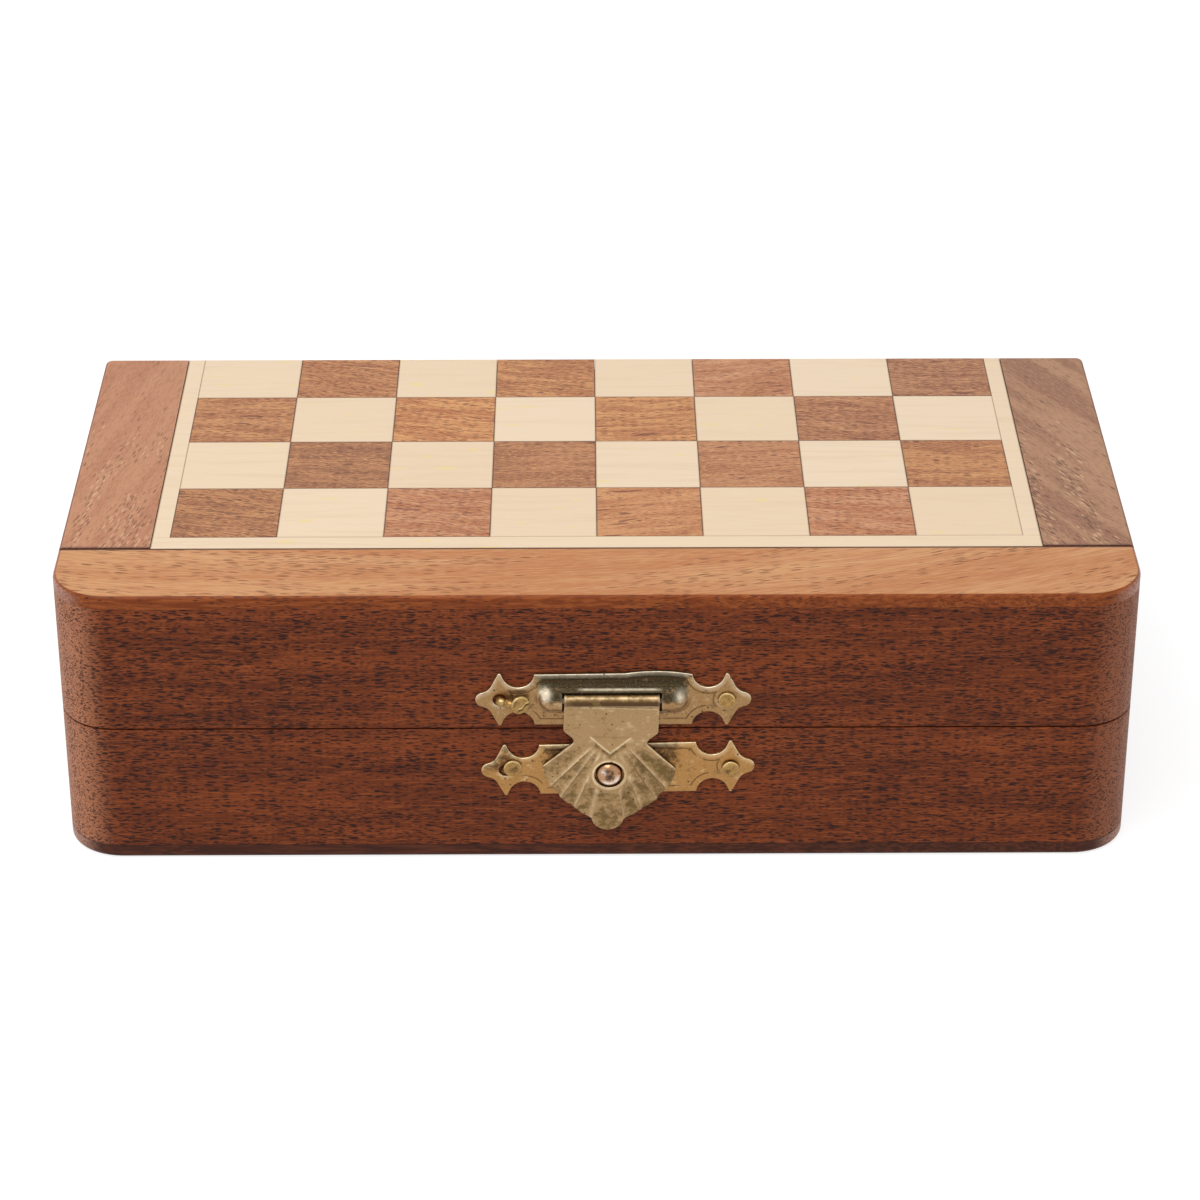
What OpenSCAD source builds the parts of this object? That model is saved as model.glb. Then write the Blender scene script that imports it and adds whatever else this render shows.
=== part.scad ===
// Folding chess box, closed.
// X runs along the seam, Y from the latch to the hinges and Z up.
// The origin is the middle of the underside, halfway between the front and back faces.
// Each half is a tray whose outside is half of the chessboard.

/* [Board] */
// Side of one square
square_w = 17.8; // [14:0.1:30]
// Amount that the row at the hinges is cut short by
hinge_row_trim = 1.4; // [0:0.1:4]
// Width of the light strips at both ends of the rows
side_strip_w = 2.9; // [1.5:0.1:8]
// Width of the light strip in front of the rows
front_strip_w = 3.9; // [1.5:0.1:8]
// Width of the border planks at both ends
side_border_w = 15.25; // [12:0.05:30]
// Width of the border plank in front
front_border_w = 16.7; // [12:0.1:30]
// Thickness of the squares, strips and planks
board_t = 2.3; // [1.5:0.1:5]
// Width of the glue line between squares and strips
glue_line = 0.06; // [0.02:0.01:0.3]
// Width of the glue line between strips and planks
plank_line = 0.14; // [0.04:0.01:0.4]
// Width of the joint between the side planks and the front plank
end_line = 0.3; // [0.04:0.01:0.6]

/* [Trays] */
// Height of each half, from its rim to its board
half_h = 24.9; // [20:0.1:40]
// Gap between the two rims
seam_gap = 0.2; // [0.1:0.05:0.6]
// Thickness of the walls
wall_t = 9.5; // [8:0.1:12]
// Radius of the upright corners in front
front_corner_r = 9.5; // [3:0.1:11]
// Radius of the upright corners at the hinges
back_corner_r = 1.3; // [1:0.1:4]
// Rounding of the edges of the board
edge_r = 0.8; // [0.3:0.1:1.2]
// Rounding of the outer edges of the rims
rim_r = 0.3; // [0.1:0.05:0.6]
// Thickness of the board that backs the squares
backing_t = 3; // [1.5:0.1:5]
// Thickness of the felt lining
lining_t = 1; // [0.5:0.1:2]
// Gap round the felt lining
lining_gap = 0.3; // [0.1:0.1:1]

/* [Hinges] */
// Distance from the end of the box to the middle of a hinge
hinge_inset = 43; // [25:0.5:60]
// Length of a hinge along the seam
hinge_len = 22; // [18:0.5:30]
// Reach of a leaf from the hinge axis
leaf_w = 7; // [5:0.1:7.8]
// Thickness of a leaf
leaf_t = 0.8; // [0.6:0.05:1]
// Outer radius of the knuckles
knuckle_r = 1.6; // [1.4:0.05:2]
// Gap between neighbouring knuckles
knuckle_gap = 0.12; // [0.08:0.01:0.3]
// Distance from the back faces to the hinge axis
axis_out = 0.1; // [0.1:0.05:0.4]
// Radius of the hinge pin
hinge_pin_r = 0.7; // [0.5:0.05:0.8]
// Radius of the spread ends of the hinge pin
pin_head_r = 1.1; // [1:0.05:1.3]
// Thickness of the spread ends of the hinge pin
pin_head_t = 0.3; // [0.2:0.05:0.5]
// Radial clearance of a pin in its bore
pin_clearance = 0.05; // [0.02:0.01:0.09]
// Clearance of the wood and the other leaf round a knuckle
knuckle_clearance = 0.15; // [0.1:0.01:0.3]
// Clearance at the edges of a leaf in its recess
leaf_clearance = 0.1; // [0.05:0.01:0.3]

/* [Screws] */
// Distance of the screws from the middle of a hinge
screw_x = 7; // [5:0.1:8]
// Distance of the screws from the hinge axis
screw_reach = 4.5; // [3.6:0.1:5.2]
// Radius of the countersunk head
screw_head_r = 1.3; // [1:0.05:1.5]
// Height of the countersunk head
screw_head_h = 0.7; // [0.4:0.05:0.8]
// Radius of the shank
screw_r = 0.6; // [0.4:0.05:0.8]
// Overall length of a screw
screw_len = 7; // [4:0.5:12]
// Length of the pointed end
screw_tip = 1.2; // [0.6:0.1:2]
// Width of the slot in the head
slot_w = 0.35; // [0.2:0.05:0.5]
// Depth of the slot in the head
slot_d = 0.35; // [0.2:0.05:0.5]
// Clearance of the leaf round a screw
screw_clearance = 0.06; // [0.03:0.01:0.2]
// Clearance of the wood round a screw, nail or rivet
wood_fit = 0.02; // [0.01:0.01:0.05]

/* [Latch plates] */
// Middle of the upper plate, to the right of the middle of the box
upper_plate_x = 2.6; // [-10:0.1:10]
// Middle of the upper plate, above the seam
upper_plate_z = 5.8; // [5.4:0.1:8]
// Middle of the lower plate, to the right of the middle of the box
lower_plate_x = 3.4; // [-10:0.1:10]
// Middle of the lower plate, below the seam
lower_plate_drop = 7.4; // [6.5:0.1:12]
// Angle at which the lower plate was nailed on
lower_plate_turn = 1; // [-3:0.1:3]
// Length of a plate, from tip to tip
plate_len = 45.4; // [42:0.1:50]
// Width of the middle field of a plate
plate_mid_w = 26; // [24:0.1:26.5]
// Height of the middle field of a plate
plate_h = 9.5; // [8:0.1:10.4]
// Thickness of the sheet
sheet_t = 0.55; // [0.3:0.05:0.7]
// Distance from the tip of a plate to the middle of its nail hole
nail_inset = 4; // [3.6:0.1:4.4]
// Height of the points beside the nail holes above the middle line
point_h = 4.9; // [4.4:0.1:5.2]
// Width of the points at their ends
point_w = 0.4; // [0.2:0.05:0.6]
// Distance by which a point's inner side leans away from the hollow beside it
point_flare = 0.2; // [0.1:0.05:0.4]
// Height of the middle of the hollows between the middle field and the points above the middle line
inner_hollow_h = 4.95; // [4.8:0.05:5.2]
// Radius of the hollows between the points and the tip
outer_hollow_r = 2.3; // [2:0.05:2.6]
// Distance from a nail hole to the middle of the hollows beyond it
outer_hollow_reach = 3.45; // [3.2:0.05:3.7]
// Radius of the tip at either end
tip_r = 1.33; // [1:0.01:1.5]
// Radius of the nail holes
nail_hole_r = 1.1; // [0.9:0.05:1.3]
// Distance from the edge of a plate to the line pressed into it
line_inset = 0.95; // [0.6:0.05:1.2]
// Width of the pressed line
line_w = 0.4; // [0.3:0.05:0.6]
// Height of the pressed line
line_h = 0.12; // [0.08:0.01:0.2]
// Height of the bulge in the upper edge of the upper plate
dent_h = 0.6; // [0.2:0.05:0.8]
// Start of that bulge, to the right of the middle of the plate
dent_x = 1; // [0:0.1:6]

/* [Latch barrel] */
// Height of the hasp's axis above the seam
pivot_z = 6.1; // [5.8:0.1:7]
// Distance from the wood to the hasp's axis
pivot_out = 1.25; // [1.2:0.01:1.3]
// Radius of the half-barrel
barrel_r = 2.4; // [2.35:0.05:2.8]
// Length of the half-barrel with its round ends
barrel_len = 25; // [22:0.1:25]
// Thickness of the sheet in the half-barrel
barrel_t = 0.5; // [0.3:0.05:0.5]
// Play at either end of the hasp in its window
window_play = 0.35; // [0.2:0.05:0.6]
// Height of the window's upper edge above the hasp's axis
window_top = 1.6; // [1.5:0.05:1.8]
// Radius of the latch pin
latch_pin_r = 0.55; // [0.4:0.05:0.55]

/* [Hasp] */
// Middle of the hasp, to the right of the middle of the box
hasp_x = 2.38; // [1.5:0.01:3.5]
// Width of the rolled end and the flat below it
hasp_w = 15.7; // [13:0.1:16]
// Outer radius of the rolled end
roll_r = 1.15; // [1.05:0.01:1.15]
// Thickness of the hasp
hasp_t = 0.5; // [0.3:0.05:0.6]
// Gap between the hasp and the pressed lines behind it
hasp_gap = 0.18; // [0.1:0.01:0.25]
// Angle at which the hasp leans towards the left
hasp_lean = 1.8; // [0:0.1:3]
// Drop from the axis to the shoulders
shoulder_drop = 6.1; // [5:0.1:6.6]
// Width of the neck
neck_w = 12; // [10:0.1:13]
// Drop from the axis to the neck
neck_drop = 8.2; // [7.8:0.1:9]
// Width across the corners of the shield
shield_w = 22.1; // [18:0.1:24]
// Drop from the axis to the corners of the shield
corner_drop = 13; // [11:0.1:14]
// Drop from the axis to the point of the shield
hasp_drop = 25.3; // [24.5:0.1:26.5]
// Drop from the axis to the hole
hole_drop = 14.3; // [13:0.1:15]
// Radius of the hole
hole_r = 2.4; // [2.25:0.05:2.8]
// Radius of the raised rim round the hole
hole_rim_r = 3.1; // [2.95:0.05:3.6]
// Height of the raised rim round the hole
hole_rim_h = 0.2; // [0.1:0.05:0.3]
// Width of the triangle pressed into the neck
triangle_w = 6.8; // [4:0.1:8]
// Drop from the axis to the upper side of the triangle
triangle_drop = 6.9; // [6.5:0.1:7.5]
// Depth of the triangle, from its upper side to its point
triangle_h = 3.1; // [2:0.1:3.6]
// Depth of the dish in the triangle
triangle_t = 0.12; // [0.05:0.01:0.2]

/* [Stud and nails] */
// Clearance between the stud and the hole of the hasp
stud_clearance = 0.2; // [0.1:0.05:0.4]
// Height of the stud above the wood
stud_out = 2.25; // [2:0.05:2.3]
// Height of the dome on the stud
dome_h = 0.95; // [0.6:0.05:1.1]
// Radius of the stud's neck in the lower plate
stud_neck_r = 1.2; // [0.8:0.05:1.5]
// Radius of the riveted end behind the lower plate
rivet_r = 1.8; // [1.7:0.05:2.2]
// Thickness of the riveted end
rivet_t = 0.8; // [0.5:0.05:1.5]
// Radius of a nail's head
nail_head_r = 1.5; // [1.3:0.05:1.7]
// Thickness of a nail's head
nail_head_t = 0.45; // [0.3:0.05:0.7]
// Radius of a nail's shank
nail_r = 0.6; // [0.4:0.05:0.65]
// Length of a nail in the wood
nail_len = 7; // [4:0.5:8]
// Height at which the crooked nail bends over
bend_out = 1.15; // [1:0.05:1.6]
// Length of the crooked nail beyond its bend
bend_len = 3.1; // [2:0.1:4]
// Angle of the crooked nail's bent end from upright
bend_angle = 68; // [50:1:72]
// Angle at which the bent end slopes down
bend_slope = 1; // [0:1:40]
// Angle of the crooked nail's head from the face of the wood
bent_head_tilt = 22; // [0:1:40]

/* [Hidden] */
$fn = 64;
rows = 4;
columns = 8;
knuckles = 5;
halves = ["base", "lid"];
ends = [-1, 1];
end_names = ["left", "right"];
colours = ["light", "dark"];
wood_parts = [
    "front_wall", "back_wall", "left_wall", "right_wall", "backing_board", "felt_lining",
    "front_border", "left_border", "right_border", "front_strip", "left_strip", "right_strip"
];
latch_parts = [
    "upper_latch_plate", "latch_pin", "hasp", "lower_latch_plate", "latch_stud",
    "bent_nail", "upper_plate_nail", "lower_plate_nails"
];

walnut = [0.45, 0.24, 0.14];
border_wood = [0.72, 0.46, 0.30];
dark_square = [0.66, 0.42, 0.29];
light_wood = [0.93, 0.84, 0.70];
plywood = [0.80, 0.68, 0.50];
felt_green = [0.12, 0.30, 0.20];
antique_brass = [0.66, 0.55, 0.38];
yellow_brass = [0.72, 0.60, 0.30];
copper_silver = [0.72, 0.62, 0.58];

seam_z = half_h + seam_gap / 2;
inner_w = columns * square_w;
field_w = inner_w + 2 * side_strip_w;
board_w = field_w + 2 * side_border_w;
field_d = rows * square_w - hinge_row_trim;
board_d = field_d + front_strip_w + front_border_w;
front_y = -board_d / 2;
back_y = board_d / 2;
strip_back_y = back_y - field_d;
strip_front_y = strip_back_y - front_strip_w;
wall_h = half_h - board_t;
hollow_w = board_w - 2 * wall_t;
hollow_d = board_d - 2 * wall_t;
past = 1;

hinge_y = back_y + axis_out;
knuckle_w = (hinge_len - (knuckles - 1) * knuckle_gap) / knuckles;
hinge_bore_r = hinge_pin_r + pin_clearance;
base_knuckles = [0, 2, 4];
lid_knuckles = [1, 3];

nail_x = plate_len / 2 - nail_inset;
tip_x = plate_len / 2 - tip_r;
inner_hollow_r = (nail_x - point_w / 2 - point_flare - plate_mid_w / 2) / 2;
inner_hollow_x = plate_mid_w / 2 + inner_hollow_r;
outer_hollow_x = nail_x + outer_hollow_reach;
outer_hollow_h = sqrt(pow(outer_hollow_r + tip_r, 2) - pow(outer_hollow_x - tip_x, 2));
hasp_back = sheet_t + line_h + hasp_gap;
roll_bore_r = latch_pin_r + pin_clearance;
stud_r = hole_r - stud_clearance;
stud_x = hasp_x - hole_drop * sin(hasp_lean);
stud_z = pivot_z - hole_drop * cos(hasp_lean);
pivot_rise = pivot_z - upper_plate_z;
dome_r = (stud_r * stud_r + dome_h * dome_h) / (2 * dome_h);
lower_left_shift = [1.2, 0.6];
lower_right_shift = [0, -0.3];

// Points along an arc between two angles.
function arc_points(middle, r, from, to, steps = 8) =
    [for (k = [0:steps]) let (a = from + (to - from) * k / steps) middle + r * [cos(a), sin(a)]];

// Angle at which a straight line from a point touches a circle, on the side of it that side says.
function touch_angle(from, middle, r, side) =
    let (d = from - middle) atan2(d[1], d[0]) + side * acos(r / norm(d));

// Outline of a latch plate, from the upper right corner of its middle field out to the right tip.
// Each point beside a nail hole has straight sides that run into the hollows on either side of it,
// and the outer hollow runs into the round tip.
inner_hollow = [inner_hollow_x, inner_hollow_h];
outer_hollow = [outer_hollow_x, outer_hollow_h];
point_in = [nail_x - point_w / 2, point_h];
point_out = [nail_x + point_w / 2, point_h];
tip_angle = atan2(outer_hollow_h, outer_hollow_x - tip_x);
tip_steps = 8;
function tip_end(a) = [tip_x + tip_r * cos(a), tip_r * sin(a)];
plate_quarter = concat(
    arc_points(
        inner_hollow, inner_hollow_r,
        180 + asin((inner_hollow_h - plate_h / 2) / inner_hollow_r),
        360 + touch_angle(point_in, inner_hollow, inner_hollow_r, -1)
    ),
    [point_in, point_out],
    arc_points(
        outer_hollow, outer_hollow_r,
        touch_angle(point_out, outer_hollow, outer_hollow_r, 1),
        180 + tip_angle
    ),
    [for (k = [1:tip_steps]) tip_end(tip_angle * (1 - k / tip_steps))]
);
plate_side = concat(
    plate_quarter,
    [for (i = [len(plate_quarter) - 2:-1:0]) [plate_quarter[i][0], -plate_quarter[i][1]]]
);
plate_points = concat(
    plate_side,
    [for (i = [len(plate_side) - 1:-1:0]) [-plate_side[i][0], plate_side[i][1]]]
);

// Points of a bowed edge from a to b, without b itself; the bow lies to the left of the way along it.
function bowed(a, b, bow, steps = 6) =
    let (d = b - a, out = [-d[1], d[0]] / norm(d))
    [for (k = [0:steps - 1]) let (t = k / steps) a + t * d + 4 * bow * t * (1 - t) * out];

function row_back(row) = row == 1 ? back_y + past : back_y + hinge_row_trim - (row - 1) * square_w;
function row_front(row) = back_y + hinge_row_trim - row * square_w;

// Right side of the hasp's outline, from the axis down to its point; y is the height from the axis.
// Each lobe runs between two cusps, given as shares of the way from the corner to the point.
cusps = [[1, 0, 0.6], [0.77, 0.415, 0.4], [0.507, 0.634, 0.35], [0.245, 0.797, 0.75], [0, 1, 0]];
neck_chamfer = [0.3, 0.8];
function cusp_at(i) = [cusps[i][0] * shield_w / 2, cusps[i][1] * (corner_drop - hasp_drop) - corner_drop];
hasp_side = concat(
    [[hasp_w / 2, 0], [hasp_w / 2, -shoulder_drop]],
    [[neck_w / 2, -neck_drop] + neck_chamfer, [neck_w / 2, -neck_drop]],
    [for (i = [1:len(cusps) - 1]) each bowed(cusp_at(i - 1), cusp_at(i), cusps[i - 1][2])]
);
hasp_outline = concat(
    hasp_side,
    [[0, -hasp_drop]],
    [for (i = [len(hasp_side) - 1:-1:0]) [-hasp_side[i][0], hasp_side[i][1]]]
);

// Where a nail hole of the lower plate lies, from the middle of the box and the seam.
function lower_hole(side) = [
    lower_plate_x + side * nail_x * cos(lower_plate_turn),
    -lower_plate_drop + side * nail_x * sin(lower_plate_turn)
];

// What a rounding takes off a corner at the origin whose material lies at negative x and y.
module corner_waste(r) {
    difference() {
        translate([-r, -r]) square(2 * r);
        translate([-r, -r]) circle(r);
    }
}

// Cross-section of a half: y runs from the rim to the face of the board.
module half_section(width) {
    difference() {
        translate([-width / 2, 0]) square([width, half_h]);
        for (side = ends) {
            scale([side, 1]) translate([width / 2, half_h]) corner_waste(edge_r);
            scale([side, 1]) translate([width / 2, 0]) mirror([0, 1]) corner_waste(rim_r);
        }
    }
}

module upright_corner(r) {
    rotate_extrude() intersection() {
        half_section(2 * r);
        square([r, half_h]);
    }
}

// Outer form of a half, rim at z = 0 and face of the board at z = half_h.
module half_form() {
    front_cx = board_w / 2 - front_corner_r;
    back_cx = board_w / 2 - back_corner_r;
    rotate([90, 0, 90]) translate([0, 0, -front_cx]) linear_extrude(2 * front_cx) half_section(board_d);
    intersection() {
        rotate([90, 0, 90]) translate([0, 0, -back_cx]) linear_extrude(2 * back_cx) half_section(board_d);
        translate([-board_w / 2, 0, 0]) cube([board_w, board_d, half_h]);
    }
    translate([0, back_y - back_corner_r, 0]) rotate([90, 0, 0])
        linear_extrude(board_d - front_corner_r - back_corner_r) half_section(board_w);
    for (side = ends) {
        translate([side * front_cx, front_y + front_corner_r, 0]) upright_corner(front_corner_r);
        translate([side * back_cx, back_y - back_corner_r, 0]) upright_corner(back_corner_r);
    }
}

// Puts a piece that is drawn rim down into the lid, or upside down into the base.
module in_half(half) {
    if (half == "lid") translate([0, 0, seam_z + seam_gap / 2]) children();
    else translate([0, 0, seam_z - seam_gap / 2]) mirror([0, 0, 1]) children();
}

// Part of the half's outer form between two corners of a block.
module cut_from_form(low, high) {
    intersection() {
        half_form();
        translate(low) cube(high - low);
    }
}

// Block of the chequered field, with its back end eased where it reaches the hinges.
module cut_from_field(low, high) {
    if (high[1] > back_y) intersection() {
        rotate([90, 0, 90]) translate([0, 0, -field_w / 2]) linear_extrude(field_w) half_section(board_d);
        translate(low) cube(high - low);
    }
    else translate(low) cube(high - low);
}

module front_wall(half) {
    color(walnut) difference() {
        in_half(half) cut_from_form([-board_w, front_y - past, 0], [board_w, front_y + wall_t, wall_h]);
        if (half == "lid") upper_fastener_holes();
        else lower_fastener_holes();
    }
}

module back_wall(half) {
    color(walnut) difference() {
        in_half(half) cut_from_form([-board_w, back_y - wall_t, 0], [board_w, back_y + past, wall_h]);
        for (side = ends) hinge_seat(side, half);
    }
}

module side_wall(half, side) {
    x = side < 0 ? -board_w / 2 - past : board_w / 2 - wall_t;
    color(walnut) in_half(half)
        cut_from_form([x, front_y + wall_t, 0], [x + wall_t + past, back_y - wall_t, wall_h]);
}

module backing_board(half) {
    color(plywood) in_half(half)
        translate([-hollow_w / 2, -hollow_d / 2, wall_h - backing_t]) cube([hollow_w, hollow_d, backing_t]);
}

module felt_lining(half) {
    w = hollow_w - 2 * lining_gap;
    d = hollow_d - 2 * lining_gap;
    color(felt_green) in_half(half)
        translate([-w / 2, -d / 2, wall_h - backing_t - lining_t]) cube([w, d, lining_t]);
}

module front_border(half) {
    color(border_wood) in_half(half)
        cut_from_form([-board_w, front_y - past, wall_h], [board_w, strip_front_y - plank_line, half_h + past]);
}

module side_border(half, side) {
    x0 = field_w / 2 + plank_line;
    x1 = board_w / 2 + past;
    low = side < 0 ? -x1 : x0;
    high = side < 0 ? -x0 : x1;
    color(border_wood) in_half(half)
        cut_from_form([low, strip_front_y + end_line, wall_h], [high, back_y + past, half_h + past]);
}

module front_strip(half) {
    color(light_wood) in_half(half)
        translate([-field_w / 2, strip_front_y, wall_h])
            cube([field_w, front_strip_w - glue_line / 2, board_t]);
}

module side_strip(half, side) {
    x0 = inner_w / 2 + glue_line / 2;
    x1 = field_w / 2;
    low = side < 0 ? -x1 : x0;
    high = side < 0 ? -x0 : x1;
    color(light_wood) in_half(half)
        cut_from_field([low, strip_back_y + glue_line / 2, wall_h], [high, back_y + past, half_h]);
}

// Squares of one colour in one row; rows count from the hinges and columns from the left.
module squares(half, row, colour) {
    // The base carries on the pattern of the lid when the board lies open, so its colours are swapped.
    swap = (half == "base" ? 1 : 0) + (colour == "dark" ? 1 : 0);
    color(colour == "light" ? light_wood : dark_square) in_half(half)
        for (column = [0:columns - 1])
            if ((column + row - 1 + swap) % 2 == 0) {
                x = column * square_w - inner_w / 2;
                cut_from_field(
                    [x + glue_line / 2, row_front(row) + glue_line / 2, wall_h],
                    [x + square_w - glue_line / 2, row_back(row) - glue_line / 2, half_h]
                );
            }
}

// Start of a knuckle, from the middle of the hinge.
function knuckle_x(i) = i * (knuckle_w + knuckle_gap) - hinge_len / 2;

// A rod along X, centred on the hinge axis when drawn at a hinge.
module rod(r, x, length) {
    translate([x, 0, 0]) rotate([0, 90, 0]) cylinder(r = r, h = length);
}

module at_hinge(side) {
    translate([side * (board_w / 2 - hinge_inset), hinge_y, seam_z]) children();
}

// Screw with its head up, the top of the head at z = 0.
module screw_form(extra) {
    shank_end = screw_tip - screw_len;
    translate([0, 0, -screw_head_h])
        cylinder(r1 = screw_r + extra, r2 = screw_head_r + extra, h = screw_head_h);
    translate([0, 0, shank_end]) cylinder(r = screw_r + extra, h = screw_len - screw_tip);
    translate([0, 0, -screw_len]) cylinder(r1 = extra, r2 = screw_r + extra, h = screw_tip);
}

// A hinge's screw places in a half, drawn at a hinge; the heads face the seam.
module at_screws(half) {
    for (side = ends) mirror([0, 0, half == "lid" ? 1 : 0])
        translate([side * screw_x, -screw_reach, -seam_gap / 2]) children();
}

// Room that a hinge takes in the wood of a back wall.
module hinge_seat(side, half) {
    leaf_x = hinge_len / 2 + leaf_clearance;
    rod_x = hinge_len / 2 + pin_head_t + knuckle_clearance;
    at_hinge(side) {
        rod(knuckle_r + knuckle_clearance, -rod_x, 2 * rod_x);
        mirror([0, 0, half == "lid" ? 1 : 0])
            translate([-leaf_x, -leaf_w - leaf_clearance, -seam_gap / 2 - leaf_t])
                cube([2 * leaf_x, leaf_w + leaf_clearance + past, leaf_t + past]);
        at_screws(half) screw_form(wood_fit);
    }
}

module hinge_leaf(side, half) {
    own = half == "base" ? base_knuckles : lid_knuckles;
    other = half == "base" ? lid_knuckles : base_knuckles;
    color(antique_brass) at_hinge(side) difference() {
        union() {
            mirror([0, 0, half == "lid" ? 1 : 0])
                translate([-hinge_len / 2, -leaf_w, -seam_gap / 2 - leaf_t]) cube([hinge_len, leaf_w, leaf_t]);
            for (i = own) rod(knuckle_r, knuckle_x(i), knuckle_w);
        }
        rod(hinge_bore_r, -hinge_len, 2 * hinge_len);
        for (i = other)
            rod(knuckle_r + knuckle_clearance, knuckle_x(i) - knuckle_gap, knuckle_w + 2 * knuckle_gap);
        at_screws(half) screw_form(screw_clearance);
    }
}

module hinge_pin(side) {
    color(yellow_brass) at_hinge(side) {
        rod(hinge_pin_r, -hinge_len / 2, hinge_len);
        for (end = ends)
            rod(pin_head_r, end * (hinge_len + pin_head_t) / 2 - pin_head_t / 2, pin_head_t);
    }
}

module hinge_screws(half) {
    color(yellow_brass) for (side = ends) at_hinge(side) at_screws(half) difference() {
        screw_form(0);
        translate([-screw_head_r - past, -slot_w / 2, -slot_d])
            cube([2 * (screw_head_r + past), slot_w, slot_d + past]);
    }
}

// Puts a piece that is drawn lying on z = 0 onto the front face, at x from the middle and z from the seam.
module on_front(x, z) {
    translate([x, front_y, seam_z + z]) rotate([90, 0, 0]) children();
}

// Middle of a plate out to its nail heads, drawn in from its edge by inset.
module line_outline(inset) {
    for (side = ends) scale([side, 1]) difference() {
        translate([-past, inset - plate_h / 2]) square([nail_x - nail_head_r + past, plate_h - 2 * inset]);
        for (up = ends)
            translate([inner_hollow_x, up * inner_hollow_h]) circle(inner_hollow_r + inset);
    }
}

module plate_sheet() {
    linear_extrude(sheet_t) polygon(plate_points);
    linear_extrude(sheet_t + line_h) difference() {
        line_outline(line_inset);
        line_outline(line_inset + line_w);
    }
}

module nail_holes() {
    for (side = ends) translate([side * nail_x, 0, -past]) cylinder(r = nail_hole_r, h = sheet_t + 2 * past);
}

// Rod with round ends along X, drawn about its middle.
module capsule(r, length) {
    rod(r, r - length / 2, length - 2 * r);
    for (end = ends) translate([end * (length / 2 - r), 0, 0]) sphere(r);
}

module upper_latch_plate() {
    window_w = hasp_w + 2 * window_play;
    inner_r = barrel_r - barrel_t;
    color(antique_brass) on_front(upper_plate_x, upper_plate_z) difference() {
        union() {
            plate_sheet();
            linear_extrude(sheet_t) polygon(concat(
                bowed([dent_x, plate_h / 2], [plate_mid_w / 2, plate_h / 2], dent_h),
                [[plate_mid_w / 2, plate_h / 2], [plate_mid_w / 2 - past, 0], [dent_x, 0]]
            ));
            intersection() {
                translate([0, pivot_rise, 0]) capsule(barrel_r, barrel_len);
                translate([-plate_len / 2, -plate_h, 0]) cube([plate_len, 2 * plate_h, barrel_r + past]);
            }
        }
        translate([0, pivot_rise, 0]) capsule(inner_r, barrel_len - 2 * barrel_t);
        translate([hasp_x - upper_plate_x - window_w / 2, pivot_rise - barrel_r, -past])
            cube([window_w, barrel_r + window_top, barrel_r + 2 * past]);
        nail_holes();
    }
}

module latch_pin() {
    length = barrel_len - 2 * barrel_r;
    color(yellow_brass) on_front(upper_plate_x, pivot_z)
        translate([0, 0, pivot_out]) rod(latch_pin_r, -length / 2, length);
}

module hasp() {
    color(antique_brass) on_front(hasp_x, pivot_z) difference() {
        union() {
            translate([0, 0, pivot_out]) rod(roll_r, -hasp_w / 2, hasp_w);
            rotate([0, 0, -hasp_lean]) translate([0, 0, hasp_back]) difference() {
                union() {
                    linear_extrude(hasp_t) polygon(hasp_outline);
                    translate([0, -hole_drop, 0]) cylinder(r = hole_rim_r, h = hasp_t + hole_rim_h);
                }
                translate([0, -hole_drop, -past]) cylinder(r = hole_r, h = hasp_t + 2 * past);
                translate([0, -triangle_drop, hasp_t - triangle_t]) linear_extrude(past)
                    polygon([[-triangle_w / 2, 0], [triangle_w / 2, 0], [0, -triangle_h]]);
            }
        }
        translate([0, 0, pivot_out]) rod(roll_bore_r, -hasp_w, 2 * hasp_w);
    }
}

module lower_latch_plate() {
    color(antique_brass) difference() {
        on_front(lower_plate_x, -lower_plate_drop) rotate([0, 0, lower_plate_turn]) difference() {
            plate_sheet();
            nail_holes();
        }
        on_front(stud_x, stud_z) translate([0, 0, -past])
            cylinder(r = stud_neck_r + wood_fit, h = sheet_t + 2 * past);
    }
}

// Domed stud with its neck through the lower plate and its riveted end behind it.
module latch_stud() {
    shoulder = stud_out - dome_h;
    color(copper_silver) on_front(stud_x, stud_z) {
        translate([0, 0, -rivet_t]) cylinder(r = rivet_r, h = rivet_t);
        cylinder(r = stud_neck_r, h = sheet_t);
        translate([0, 0, sheet_t]) cylinder(r = stud_r, h = shoulder - sheet_t);
        intersection() {
            translate([0, 0, stud_out - dome_r]) sphere(dome_r);
            translate([0, 0, shoulder]) cylinder(r = stud_r, h = dome_h);
        }
    }
}

// Shank of a nail below z = 0, with its point.
module nail_shank(extra) {
    point = 2 * nail_r;
    translate([0, 0, point - nail_len]) cylinder(r = nail_r + extra, h = nail_len - point);
    translate([0, 0, -nail_len]) cylinder(r1 = extra, r2 = nail_r + extra, h = point);
}

// Nail driven home, its head shifted on the shank where it went in askew.
module nail(shift) {
    nail_shank(0);
    cylinder(r = nail_r, h = sheet_t);
    translate([shift[0], shift[1], sheet_t]) cylinder(r = nail_head_r, h = nail_head_t);
}

module upper_plate_nail() {
    color(yellow_brass) on_front(upper_plate_x + nail_x, upper_plate_z) translate([0, 0, line_h]) nail([0, 0]);
}

module lower_plate_nails() {
    color(yellow_brass) {
        on_front(lower_hole(-1)[0], lower_hole(-1)[1]) translate([0, 0, line_h]) nail(lower_left_shift);
        on_front(lower_hole(1)[0], lower_hole(1)[1]) translate([0, 0, line_h]) nail(lower_right_shift);
    }
}

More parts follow.
